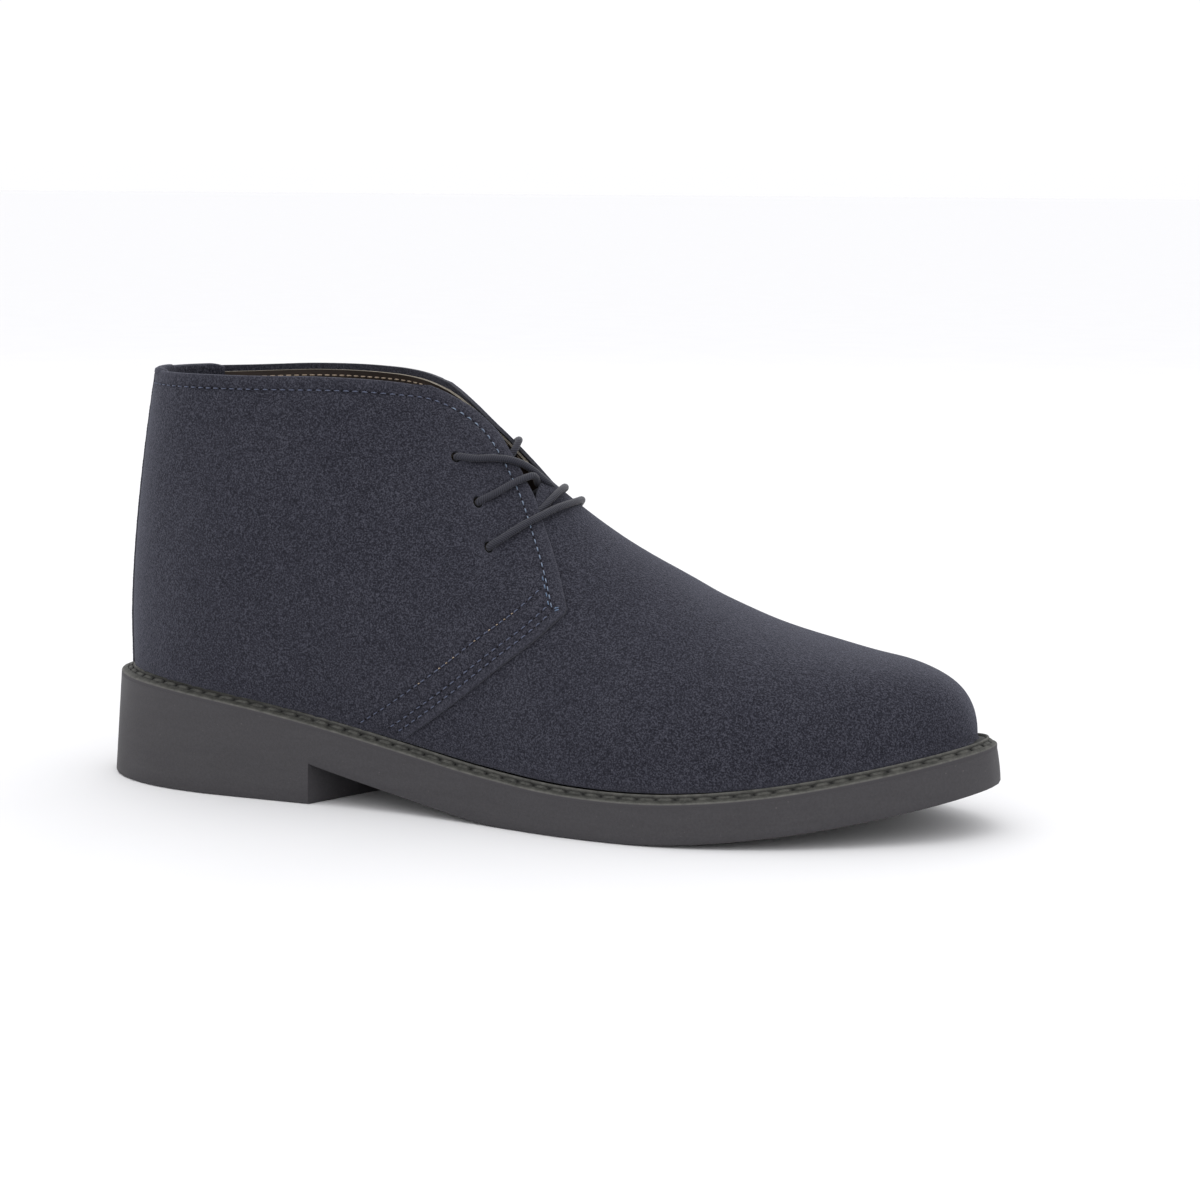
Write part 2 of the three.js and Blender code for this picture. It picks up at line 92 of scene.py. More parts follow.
SOLE_COLUMNS = ("along", "outer", "inner", "middle", "top")
SOLE = (
    (0, 37, 36.5, 0, 36.3),
    (30, 37.5, 36.5, 0, 34.8),
    (60, 38.2, 35.5, 0, 31.7),
    (90, 39.2, 32, 0, 27.2),
    (120, 41, 30.5, 0, 21.8),
    (150, 45.8, 37, 0, 17.2),
    (180, 52.3, 47, 0.2, 14.9),
    (210, 54.5, 51.8, 1.2, 15),
    (240, 49.7, 49, 3.3, 17.6),
    (270, 42.5, 43, 5.8, 22.4),
    (300, 36, 35, 8, 28.6),
)
UPPER_COLUMNS = (
    "along", "crown", "outer", "inner", "belly", "shoulder_outer", "shoulder_inner", "rise",
    "open", "ridge",
)
UPPER = (
    (7, 150, 3, 3, 0.3, 32, 32, 0.72, 28.5, 0),
    (40, 150, 4, 4, 0.3, 30, 30, 0.72, 27.5, 0),
    (75, 150, 5.5, 6.5, 0.3, 29, 29, 0.72, 24.5, 0),
    (100, 146, 6, 9, 0.32, 26, 26, 0.76, 15, 0),
    (118, 133.5, 5.5, 9, 0.34, 20, 20, 0.86, 4.5, 0.4),
    (135, 119, 4.5, 8, 0.37, 17.5, 17, 0.96, 0, 1.2),
    (155, 101, 3.5, 6, 0.42, 20, 19, 1, 0, 2.2),
    (175, 86.6, 3.5, 4.5, 0.46, 25, 23, 1, 0, 3),
    (200, 73.2, 3.5, 3.5, 0.5, 30, 27, 1, 0, 4),
    (225, 61.8, 3, 3, 0.54, 31, 29, 1, 0, 4.8),
    (245, 56.2, 2.5, 2.5, 0.6, 30, 29, 1, 0, 5.6),
    (265, 52.2, 2, 2, 0.66, 27, 27, 1, 0, 6.4),
    (280, 51.5, 1.5, 1.5, 0.7, 24, 24, 1, 0, 7),
    (293, 53.5, 1, 1, 0.7, 22, 22, 1, 0, 7.5),
)

# Cut of the upper: (along, height) of the collar on each side, (along, distance from the ridge)
# of the facing edge, and (along, height) of the quarter's front edge from the tip to the sole.
COLLAR = {
    OUTER: ((-10, 134.6), (60, 134.6), (90, 134.5), (100, 133.9), (108, 132.9), (113, 131.9)),
    INNER: (
        (-10, 134.2), (30, 134.3), (60, 135.4), (85, 135.4), (96, 134.9), (105, 133.9),
        (113, 132.4),
    ),
}
FACING = (
    (116.6, 7.6), (121, 5.3), (124.7, 3.7), (129, 2.0), (133, 1.4), (137, 1.8), (141.6, 4.2),
    (146.3, 6.7), (149.3, 8.8), (152.8, 11), (156.3, 14.4), (159.1, 17.3), (163.4, 21.6),
    (167.3, 26), (170.5, 30), (172.8, 33.1),
)
FRONT = ((119.3, 22), (129.9, 29.4), (140.5, 37.3), (153.7, 48.1), (165.9, 58.1), (172.6, 65))
EYELETS = ((128.5, 109.8), (138, 96.4), (144.2, 83.2))
VAMP_UNDER = 11.0
UNDER_END = 158.0
TONGUE_START = 156.0
TONGUE_TOP = 154.0
TONGUE_HALF = 18.0
TONGUE_BOW = 1.5

# Heights of the layers off the last's skin, and their thickness
SUEDE_THICK = 1.15
QUARTER_TOP = 1.1
VAMP_TOP = -0.15
LINING_TOP = -0.25
LINING_THICK = 0.85
LINING_SUNK = 1.35
FEATHER = 1.0
FEATHER_WIDTH = 9.0
STRIP_TOP = 2.0
STRIP_THICK = 0.85
SHEET = 110.0

STITCH_PITCH = 2.9
STITCH_RADIUS = 0.21
STITCH_GAP = 1.25
HOLE_RADIUS = 0.3
EYELET_RADIUS = 1.65
LACE_RADIUS = 1.15


# ---------------------------------------------------------------- shape of last and sole

def smooth_curve(x, y):
    """A smooth function through points, flat outside them."""
    x = np.asarray(x, float)
    y = np.asarray(y, float)
    step = np.diff(x)
    rate = np.diff(y) / step
    slope = np.empty(len(x))
    slope[0] = rate[0]
    slope[-1] = rate[-1]
    slope[1:-1] = (rate[:-1] * step[1:] + rate[1:] * step[:-1]) / (step[1:] + step[:-1])

    def value(at):
        at = np.clip(np.asarray(at, float), x[0], x[-1])
        i = np.clip(np.searchsorted(x, at, side="right") - 1, 0, len(step) - 1)
        h = step[i]
        t = (at - x[i]) / h
        start = y[i] * (1 + 2 * t) * (1 - t) ** 2 + slope[i] * h * t * (1 - t) ** 2
        return start + y[i + 1] * t * t * (3 - 2 * t) - slope[i + 1] * h * t * t * (1 - t)

    return value


def curves_of(columns, rows):
    """One smooth function of along for each column of a table."""
    table = np.array(rows, float)
    return {name: smooth_curve(table[:, 0], table[:, i]) for i, name in enumerate(columns)}


sole = curves_of(SOLE_COLUMNS, SOLE)
upper = curves_of(UPPER_COLUMNS, UPPER)
collar_height = {side: smooth_curve(*zip(*rows)) for side, rows in COLLAR.items()}
facing_half = smooth_curve(*zip(*FACING))
front_height = smooth_curve(*zip(*FRONT))


def smooth_step(start, end, x):
    t = np.clip((x - start) / (end - start), 0, 1)
    return t * t * (3 - 2 * t)


def by_side(side, outer, inner):
    return np.where(np.asarray(side) < 0, outer, inner)


def end_round(along, start, end, heel_round, toe_round):
    """Share of the full width left where the outline rounds off at the heel and the toe."""
    heel = np.clip((start + heel_round - along) / heel_round, 0, 1)
    toe = np.clip((along - end + toe_round) / toe_round, 0, 1)
    return np.sqrt((1 - heel ** HEEL_POWER) * (1 - toe ** TOE_POWER))


def skin(along, share, side, inset=0.0):
    """Point of the upper's outside in the row frame. share is 0 at the sole and 1 on the ridge."""
    start = UPPER_START + inset
    end = UPPER_END - inset
    slope = (upper["crown"](along + 1) - upper["crown"](along - 1)) / 2
    dome = smooth_step(DOME_START, DOME_END, along)
    drop = dome * inset * np.hypot(1, slope)
    rounding = end_round(along, start, end, LAST_HEEL_ROUND, LAST_TOE_ROUND)
    toe = np.clip((along - TOE_BOX_START) / (end - TOE_BOX_START), 0, 1)
    toe_drop = (1 - toe ** TOE_BOX_POWER) ** (1 / TOE_BOX_ROUND)
    foot = sole["top"](along) + FOOT_GAP
    height = np.maximum(upper["crown"](along) - drop - foot, 1) * toe_drop
    middle = sole["middle"](along)
    shift = (upper["ridge"](along) - middle) * side
    half = by_side(side, sole["outer"](along), sole["inner"](along)) - RIM - inset
    bulge = by_side(side, upper["outer"](along), upper["inner"](along))
    shoulder = by_side(side, upper["shoulder_outer"](along), upper["shoulder_inner"](along))
    opening = np.maximum(upper["open"](along) - (1 - dome) * inset, 0)
    a = (1 - share) ** 3
    b = 3 * (1 - share) ** 2 * share
    c = 3 * (1 - share) * share ** 2
    d = share ** 3
    shoulder = shoulder - (1 - DOME_INSET * dome) * inset
    across = a * half + b * (half + bulge) + c * shoulder + d * opening
    across = across * rounding + (c + d) * shift
    z = foot + height * (b * upper["belly"](along) + c * upper["rise"](along) + d)
    lean = LEAN * (np.maximum(z - LEAN_BASE, 0) / LEAN_RISE) ** 1.5
    fade = np.clip(1 - (along - start) / LEAN_FADE, 0, 1) ** 2
    x = along + lean * fade - MIDDLE_X
    return np.stack(np.broadcast_arrays(x, middle + side * across - MIDDLE_Y, z), axis=-1)


def solve_share(reached, low, high, count):
    """The share at which reached(share) turns from false to true, for each of count places."""
    low = np.full(count, float(low))
    high = np.full(count, float(high))
    for _ in range(40):
        middle = (low + high) / 2
        beyond = reached(middle)
        high = np.where(beyond, middle, high)
        low = np.where(beyond, low, middle)
    return low


def share_at_height(along, height, side):
    """The share where the wall reaches a height."""
    along = np.atleast_1d(np.asarray(along, float))
    return solve_share(lambda s: skin(along, s, side)[:, 2] >= height, 0, 1, len(along))


def share_at_half(along, half, side):
    """The share where the wall is half away from the ridge line."""
    along = np.atleast_1d(np.asarray(along, float))
    ridge = upper["ridge"](along) - MIDDLE_Y
    return solve_share(
        lambda s: (skin(along, s, side)[:, 1] - ridge) * side <= half, 0.3, 1, len(along))


# The flat sheet: u runs evenly round the heel's and the toe's curves
HEEL_TURN = UPPER_START + LAST_HEEL_ROUND
TOE_TURN = UPPER_END - LAST_TOE_ROUND
U_BACK = HEEL_TURN - LAST_HEEL_ROUND * math.pi / 2
U_FRONT = TOE_TURN + LAST_TOE_ROUND * math.pi / 2


def along_of(u):
    """The place along the boot of a u on the sheet."""
    heel = np.clip((HEEL_TURN - u) / LAST_HEEL_ROUND, 0, math.pi / 2)
    toe = np.clip((u - TOE_TURN) / LAST_TOE_ROUND, 0, math.pi / 2)
    middle = np.clip(u, HEEL_TURN, TOE_TURN)
    return middle - LAST_HEEL_ROUND * np.sin(heel) + LAST_TOE_ROUND * np.sin(toe)


def u_of(along):
    heel = np.arcsin(np.clip((HEEL_TURN - along) / LAST_HEEL_ROUND, 0, 1))
    toe = np.arcsin(np.clip((along - TOE_TURN) / LAST_TOE_ROUND, 0, 1))
    return np.clip(along, HEEL_TURN, TOE_TURN) - LAST_HEEL_ROUND * heel + LAST_TOE_ROUND * toe


def quarter_surface(side):
    """The side wall: v runs from 0 at the sole to SHEET on the ridge."""
    def point(u, v):
        return skin(along_of(u), v / SHEET, side)
    return point, -side


def vamp_surface():
    """Both walls in one: v runs from -SHEET at the outer sole over 0 on the ridge to SHEET."""
    def point(u, v):
        side = np.where(v < 0, OUTER, INNER)
        return skin(along_of(u), 1 - np.abs(v) / SHEET, side)
    return point, 1


def heel_surface():
    """Round the back of the heel: u is signed, 0 at the middle of the back."""
    def point(u, v):
        side = np.where(u < 0, OUTER, INNER)
        return skin(along_of(U_BACK + np.abs(u)), v / SHEET, side)
    return point, -1


SLOPE_REACH = 0.25


def unit(vectors):
    return vectors / np.maximum(np.linalg.norm(vectors, axis=-1, keepdims=True), 1e-9)


def slopes(surface, uv):
    """How the surface's point moves with u and with v."""
    point = surface[0]
    u = np.minimum(uv[:, 0], U_FRONT - 2 * SLOPE_REACH)
    v = uv[:, 1]
    by_u = (point(u + SLOPE_REACH, v) - point(u - SLOPE_REACH, v)) / (2 * SLOPE_REACH)
    by_v = (point(u, v + SLOPE_REACH) - point(u, v - SLOPE_REACH)) / (2 * SLOPE_REACH)
    return by_u, by_v


def normals(surface, uv):
    """Directions off the boot. A surface's second value is the sense of its u and v."""
    by_u, by_v = slopes(surface, uv)
    return unit(np.cross(by_u, by_v)) * surface[1]


def on_skin(surface, uv):
    """Points of the last's skin at places of the sheet."""
    return surface[0](uv[:, 0], uv[:, 1])


def lifted(surface, uv, height):
    """Points at a height off the skin."""
    height = np.broadcast_to(height, len(uv))
    return on_skin(surface, uv) + normals(surface, uv) * height[:, None]


def run_of(points):
    """Distance along a line at each of its points."""
    return np.concatenate([[0], np.cumsum(np.linalg.norm(np.diff(points, axis=0), axis=1))])


def at_run(at, run, line):
    """The line's points at distances along it, where run is the distance at each of its points."""
    return np.stack([np.interp(at, run, column) for column in line.T], axis=1)


def evenly(surface, uv, step, closed=False):
    """The line's points respaced about step millimetres apart on the surface."""
    if closed:
        uv = np.vstack([uv, uv[:1]])
    run = run_of(on_skin(surface, uv))
    count = max(int(round(run[-1] / step)), 2)
    line = at_run(np.linspace(0, run[-1], count + 1), run, uv)
    return line[:-1] if closed else line


def shifted(surface, line, distance):
    """The line moved sideways on the surface, to the left of its direction when positive."""
    steps = max(int(math.ceil(abs(distance))), 1)
    for _ in range(steps):
        by_u, by_v = slopes(surface, line)
        run = np.gradient(line, axis=0)
        tangent = unit(by_u * run[:, :1] + by_v * run[:, 1:])
        away = np.cross(unit(np.cross(by_u, by_v)), tangent) * (distance / steps)
        uu = (by_u * by_u).sum(1)
        uv = (by_u * by_v).sum(1)
        vv = (by_v * by_v).sum(1)
        du = (away * by_u).sum(1)
        dv = (away * by_v).sum(1)
        area = np.maximum(uu * vv - uv * uv, 1e-6)
        line = line + np.stack([(du * vv - dv * uv) / area, (dv * uu - du * uv) / area], axis=1)
    return line


# ---------------------------------------------------------------- meshes

# Points that are closer than this are joined
WELD = 0.002
HOLE_POINTS = 24
# Lines of extra points beside a panel's edges and its seams, and the gap that each keeps
EDGE_BANDS = (0.25, 0.7, 1.4)
EDGE_GAP = 0.17
SEAM_BANDS = (0, 0.5, -0.5, 1.1, -1.1)
SEAM_GAP = 0.3
GRID_GAP = 0.6
# How wide and deep a row of stitches draws its sheet in and lays painted shade along it, and how
# far painted sheen reaches in from a panel's edge
SEAM_WIDTH = 0.75
SEAM_DIP = 0.22
EDGE_SHEEN_REACH = 1.2


def add_object(name, data, axes=None, place=None):
    """An object in the scene, turned so that its own axes lie along axes."""
    made = bpy.data.objects.new(name, data)
    if axes is not None:
        matrix = Matrix.Identity(4)
        for i in range(3):
            for k, axis in enumerate(axes):
                matrix[i][k] = axis[i]
            matrix[i][3] = place[i]
        made.matrix_world = matrix
    bpy.context.scene.collection.objects.link(made)
    return made


def make_object(name, vertices, faces, materials, sharp, face_material=None, uvs=None):
    """A piece that rides on the boot's body, from points in millimetres.

    Its shading breaks where faces meet at more than sharp degrees.
    """
    mesh = bpy.data.meshes.new(name)
    mesh.from_pydata((np.asarray(vertices) * MM).tolist(), [], [list(map(int, f)) for f in faces])
    mesh.validate()
    for material in materials:
        mesh.materials.append(material)
    if face_material is not None:
        mesh.polygons.foreach_set("material_index", face_material)
    if uvs is not None:
        layer = mesh.uv_layers.new(name="UVMap")
        index = np.empty(len(mesh.loops), int)
        mesh.loops.foreach_get("vertex_index", index)
        layer.data.foreach_set("uv", np.asarray(uvs)[index].ravel())
    mesh.shade_smooth()
    mesh.set_sharp_from_angle(angle=math.radians(sharp))
    piece = add_object(name, mesh)
    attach(piece, BODY)
    return piece


def point_attribute(piece, name, values):
    attribute = piece.data.attributes.new(name, "FLOAT", "POINT")
    attribute.data.foreach_set("value", np.asarray(values, np.float32))


def in_space(points):
    """The points with a third coordinate of 0 where they have two."""
    return points if points.shape[1] == 3 else np.column_stack([points, np.zeros(len(points))])


def tree_of(points):
    tree = KDTree(len(points))
    for i, point in enumerate(in_space(points)):
        tree.insert(point, i)
    tree.balance()
    return tree


def nearest(tree, points):
    """Distance from each point to the nearest one in the tree."""
    return np.array([tree.find(point)[2] for point in in_space(points)])


def inside(polygon, points):
    """Whether each point is inside the closed polygon."""
    result = np.zeros(len(points), bool)
    x, y = points.T
    for (ax, ay), (bx, by) in zip(polygon, np.roll(polygon, -1, axis=0)):
        if ay == by:
            continue
        crosses = (ay > y) != (by > y)
        result ^= crosses & (x < ax + (y - ay) * (bx - ax) / (by - ay))
    return result


def thinned(kept, candidates, gap):
    """The candidates that are at least gap away from all kept points."""
    if len(candidates) == 0:
        return candidates
    return candidates[nearest(tree_of(kept), candidates) > gap]


def in_panel(loops, points):
    """Whether each point is inside the first loop and outside the others."""
    keep = inside(loops[0], points)
    for loop in loops[1:]:
        keep &= ~inside(loop, points)
    return keep


def hole_edge(surface, centre, radius):
    """The sheet's line round a hole that is round on the surface."""
    turn = np.linspace(0, 2 * math.pi, HOLE_POINTS + 1)[:-1]
    by_u, by_v = slopes(surface, centre[None])
    ring = [np.cos(turn) / np.linalg.norm(by_u), np.sin(turn) / np.linalg.norm(by_v)]
    return centre + np.stack(ring, axis=1) * radius


def sheet_points(surface, loops, rows, step):
    """The loops' points, then points close to edges and seams, then a plain grid between them."""
    fixed = np.vstack(loops)
    kept = fixed
    for loop in loops:
        closed = np.vstack([loop[-1:], loop, loop[:1]])
        for distance in EDGE_BANDS:
            for way in (-1, 1):
                beside = shifted(surface, closed, way * distance)[1:-1]
                kept = np.vstack([kept, thinned(kept, beside, EDGE_GAP)])
    for row in rows:
        for distance in SEAM_BANDS:
            kept = np.vstack([kept, thinned(kept, shifted(surface, row, distance), SEAM_GAP)])
    ranges = [np.arange(low, high, step) for low, high in zip(loops[0].min(0), loops[0].max(0))]
    grid = np.stack(np.meshgrid(*ranges), axis=-1).reshape(-1, 2)
    grid = grid[inside(loops[0], grid)]
    kept = np.vstack([kept, thinned(kept, grid, step * GRID_GAP)])
    free = kept[len(fixed):]
    return np.vstack([fixed, free[in_panel(loops, free)]])


def cut_panel(surface, outline, holes, rows, step):
    """Flat triangles of a panel, all turned one way: its points and faces, and its edge points."""
    loops = [outline, *(hole_edge(surface, centre, radius) for centre, radius in holes)]
    points = sheet_points(surface, loops, rows, step)
    edges = []
    first = 0
    for loop in loops:
        edges += [(first + i, first + (i + 1) % len(loop)) for i in range(len(loop))]
        first += len(loop)
    flat, _, faces, *_ = delaunay_2d_cdt([tuple(p) for p in points], edges, [], 0, 1e-5, True)
    flat = np.array([tuple(p) for p in flat])
    faces = np.array(faces)
    faces = faces[in_panel(loops, flat[faces].mean(axis=1))]
    used, corners = np.unique(faces, return_inverse=True)
    flat = flat[used]
    faces = corners.reshape(-1, 3)
    ab = flat[faces[:, 1]] - flat[faces[:, 0]]
    ac = flat[faces[:, 2]] - flat[faces[:, 0]]
    turned = ab[:, 0] * ac[:, 1] - ab[:, 1] * ac[:, 0] < 0
    faces[turned] = faces[turned][:, ::-1]
    return flat, faces, np.vstack(loops)


def open_edges(faces):
    """Edges that only one triangle uses, in that triangle's direction."""
    edges = np.vstack([faces[:, [0, 1]], faces[:, [1, 2]], faces[:, [2, 0]]])
    ordered = np.sort(edges, axis=1)
    _, index, count = np.unique(ordered, axis=0, return_index=True, return_counts=True)
    return edges[index[count == 1]]


def panel(name, surface, outline, materials, top, thick, holes=(), rows=(), step=1.7,
          edge_round=0.55, shape=None):
    """A sheet of suede or leather of real thickness that lies on the last.

    top is its outside's height off the last, a number or a function of the flat points, and shape
    is what bends it further.
    """
    flat, faces, border = cut_panel(surface, outline, holes, rows, step)
    lift = top(flat) if callable(top) else np.full(len(flat), float(top))
    base = on_skin(surface, flat)
    from_edge = nearest(tree_of(on_skin(surface, border)), base)
    near = 1 - np.clip(from_edge / edge_round, 0, 1)
    # seam: closeness to a stitch row, used for the dent and for painted shade in it
    seam = np.zeros(len(flat))
    for row in rows:
        from_row = nearest(tree_of(on_skin(surface, row)), base)
        seam = np.maximum(seam, np.exp(-(from_row / SEAM_WIDTH) ** 2))
    outer = lift - edge_round * (1 - np.sqrt(1 - near ** 2)) - SEAM_DIP * seam
    if shape is not None:
        bend = shape(flat)
        outer = outer + bend
        lift = lift + bend
    direction = normals(surface, flat)
    outside = base + direction * outer[:, None]
    within = base + direction * (lift - thick)[:, None]
    count = len(flat)
    if surface[1] < 0:
        faces = faces[:, ::-1]
    sides = [(b, a, a + count, b + count) for a, b in open_edges(faces)]
    all_faces = [*faces.tolist(), *(faces[:, ::-1] + count).tolist(), *sides]
    index = [0] * (2 * len(faces)) + [len(materials) - 1] * len(sides)
    (vertices, origin), all_faces, index = welded(np.vstack([outside, within]), all_faces, index)
    piece = make_object(name, vertices, all_faces, materials, 50, index)
    # edge: painted sheen, the suede lighter close to the panel's edges
    point_attribute(piece, "edge", np.tile(np.exp(-from_edge / EDGE_SHEEN_REACH), 2)[origin])
    # seam: painted shade in the dents along the stitch rows
    point_attribute(piece, "seam", np.tile(seam, 2)[origin])
    return piece


def welded(vertices, faces, index=None):
    """Joins points that coincide and drops faces that this leaves without area.

    Gives the points with their old places, the faces, and the faces' materials.
    """
    _, first, place = np.unique(
        np.round(vertices / WELD).astype(int), axis=0, return_index=True, return_inverse=True)
    place = place.ravel()
    kept_faces = []
    kept_index = []
    for face, material in zip(faces, index or [0] * len(faces)):
        corners = list(dict.fromkeys(place[list(face)].tolist()))
        if len(corners) > 2:
            kept_faces.append(corners)
            kept_index.append(material)
    return (vertices[first], first), kept_faces, kept_index


def grid_faces(rows, columns, wrap_rows=False, wrap_columns=False):
    """Four-cornered faces over a grid of points."""
    return [
        (i * columns + k, i * columns + (k + 1) % columns,
         (i + 1) % rows * columns + (k + 1) % columns, (i + 1) % rows * columns + k)
        for i in range(rows if wrap_rows else rows - 1)
        for k in range(columns if wrap_columns else columns - 1)
    ]


def bar_faces(rows, columns):
    """Faces of a closed bar: rings of points along it, and its two ends."""
    ends = [tuple(range(columns))[::-1], tuple(range((rows - 1) * columns, rows * columns))]
    return grid_faces(rows, columns, wrap_columns=True) + ends


def tube(centres, radii, up, sides):
    """Points and faces of a closed round tube along centres, turned evenly from up."""
    centres = np.asarray(centres, float)
    tangent = unit(np.gradient(centres, axis=0))
    axis = unit(up - tangent[0] * (up @ tangent[0]))
    turn = np.linspace(0, 2 * math.pi, sides + 1)[:-1, None]
    rings = []
    for centre, way, radius in zip(centres, tangent, radii):
        axis = unit(axis - way * (axis @ way))
        circle = np.cos(turn) * axis + np.sin(turn) * np.cross(way, axis)
        rings.append(centre + circle * radius)
    return np.vstack(rings), bar_faces(len(centres), sides)


def joined(parts):
    """Several (points, faces) as one."""
    vertices = []
    faces = []
    first = 0
    for points, corners in parts:
        vertices.append(points)
        faces += [tuple(c + first for c in face) for face in corners]
        first += len(points)
    return np.vstack(vertices), faces


# ---------------------------------------------------------------- materials

class Look:
    """A node material under construction."""

    def __init__(self, name, roughness):
        self.material = bpy.data.materials.new(name)
        self.material.use_nodes = True
        self.tree = self.material.node_tree
        self.shader = self.tree.nodes["Principled BSDF"]
        self.set("Roughness", roughness)
        place = self.node("ShaderNodeTexCoord")
        self.place = place.outputs["Object"]
        self.uv = place.outputs["UV"]

    def node(self, kind, **values):
        made = self.tree.nodes.new(kind)
        for name, value in values.items():
            setattr(made, name, value)
        return made

    def link(self, source, target):
        self.tree.links.new(source, target)

    def noise(self, size, detail, rough, stretch=(1, 1, 1)):
        """Noise with features of about size millimetres, drawn out along an axis by stretch."""
        mapping = self.node("ShaderNodeMapping")
        mapping.inputs["Scale"].default_value = stretch
        self.link(self.place, mapping.inputs["Vector"])
        noise = self.node("ShaderNodeTexNoise")
        noise.inputs["Scale"].default_value = 1 / (size * MM)
        noise.inputs["Detail"].default_value = detail
        noise.inputs["Roughness"].default_value = rough
        self.link(mapping.outputs["Vector"], noise.inputs["Vector"])
        return noise.outputs["Fac"]

    def ramp(self, factor, stops):
        """Colours by factor: (place, colour) pairs."""
        ramp = self.node("ShaderNodeValToRGB")
        elements = ramp.color_ramp.elements
        while len(elements) < len(stops):
            elements.new(0.5)
        for element, (place, colour) in zip(elements, stops):
            element.position = place
            element.color = (*colour, 1)
        self.link(factor, ramp.inputs["Fac"])
        return ramp.outputs["Color"]

    def feed(self, socket, value):
        """Gives a socket another node's output, a colour or a number."""
        if isinstance(value, bpy.types.NodeSocket):
            self.link(value, socket)
        else:
            socket.default_value = (*value, 1) if isinstance(value, tuple) else value

    def mix(self, factor, a, b, how="MIX"):
        mix = self.node("ShaderNodeMix", data_type="RGBA", blend_type=how)
        for index, value in ((0, factor), (6, a), (7, b)):
            self.feed(mix.inputs[index], value)
        return mix.outputs[2]

    def math(self, how, a, b):
        made = self.node("ShaderNodeMath", operation=how)
        self.feed(made.inputs[0], a)
        self.feed(made.inputs[1], b)
        return made.outputs[0]

    def times(self, a, b):
        return self.math("MULTIPLY", a, b)

    def fade(self, name, share):
        """A point attribute times share."""
        return self.times(self.attribute(name), share)

    def set(self, socket, value):
        """One value for the whole surface, on the shader itself."""
        self.shader.inputs[socket].default_value = value

    def attribute(self, name):
        return self.node("ShaderNodeAttribute", attribute_name=name).outputs["Fac"]

    def bump(self, height, depth, strength=1.0, under=None):
        """Relief of depth millimetres."""
        bump = self.node("ShaderNodeBump")
        bump.inputs["Strength"].default_value = strength
        bump.inputs["Distance"].default_value = depth * MM
        self.link(height, bump.inputs["Height"])
        if under is not None:
            self.link(under, bump.inputs["Normal"])
        return bump.outputs["Normal"]

    def finish(self, colour, normal=None, roughness=None):
        self.link(colour, self.shader.inputs["Base Color"])
        if normal is not None:
            self.link(normal, self.shader.inputs["Normal"])
        if roughness is not None:
            self.link(roughness, self.shader.inputs["Roughness"])
        return self.material


def grey(level):
    """A colour without hue."""
    return (level, level, level)


NAVY_DARK = (0.0095, 0.0095, 0.0145)
NAVY = (0.025, 0.0252, 0.0348)
NAVY_LIGHT = (0.060, 0.061, 0.0785)


def suede_look():
    """Brushed nap: fine fibre clusters, lighter flecks, soft shading where it was stroked."""
    look = Look("navy_suede", 0.95)
    fibre = look.noise(0.52, 2, 0.7)
    nap = look.noise(1.3, 3, 0.6)
    stroke = look.noise(26, 3, 0.55)
    fine = look.math("ADD", look.times(fibre, 0.82), look.times(nap, 0.18))
    colour = look.ramp(fine, ((0.38, NAVY_DARK), (0.5, NAVY), (0.63, NAVY_LIGHT)))
    shade = look.ramp(stroke, ((0.32, (0.88, 0.88, 0.90)), (0.68, grey(1.0))))
    colour = look.mix(1.0, colour, shade, "MULTIPLY")
    fleck = look.ramp(look.noise(0.75, 1, 0.5), ((0.72, grey(0)), (0.80, grey(1))))
    colour = look.mix(look.times(fleck, 0.6), colour, (0.11, 0.112, 0.135))
    # Painted sheen: lighter suede close to the edges of each panel
    colour = look.mix(look.fade("edge", 0.35), colour, NAVY_LIGHT)
    # Painted shade: darker in the dents along the stitch rows
    colour = look.mix(look.fade("seam", 0.25), colour, NAVY_DARK)
    relief = look.bump(nap, 0.3, 0.5)
    relief = look.bump(fibre, 0.34, 1.0, relief)
    look.set("Sheen Weight", 0.2)
    look.set("Sheen Roughness", 0.45)
    look.set("Sheen Tint", (0.62, 0.64, 0.78, 1))
    look.set("Specular IOR Level", 0.15)
    return look.finish(colour, relief)


def cut_edge_look(name, dark, light):
    """Cut edge of leather: short fibres end on."""
    look = Look(name, 0.9)
    grain = look.noise(0.35, 2, 0.6)
    colour = look.ramp(grain, ((0.3, dark), (0.7, light)))
    look.set("Specular IOR Level", 0.2)
    return look.finish(colour, look.bump(grain, 0.15))


def lining_look():
    """Smooth dark brown lining leather with fine pores."""
    look = Look("lining_leather", 0.55)
    pores = look.noise(0.5, 2, 0.5)
    cloud = look.noise(18, 3, 0.5)
    colour = look.ramp(cloud, ((0.3, (0.020, 0.013, 0.010)), (0.7, (0.040, 0.026, 0.018))))
    roughness = look.ramp(cloud, ((0.3, grey(0.45)), (0.7, grey(0.62))))
    return look.finish(colour, look.bump(pores, 0.08, 0.6), roughness)


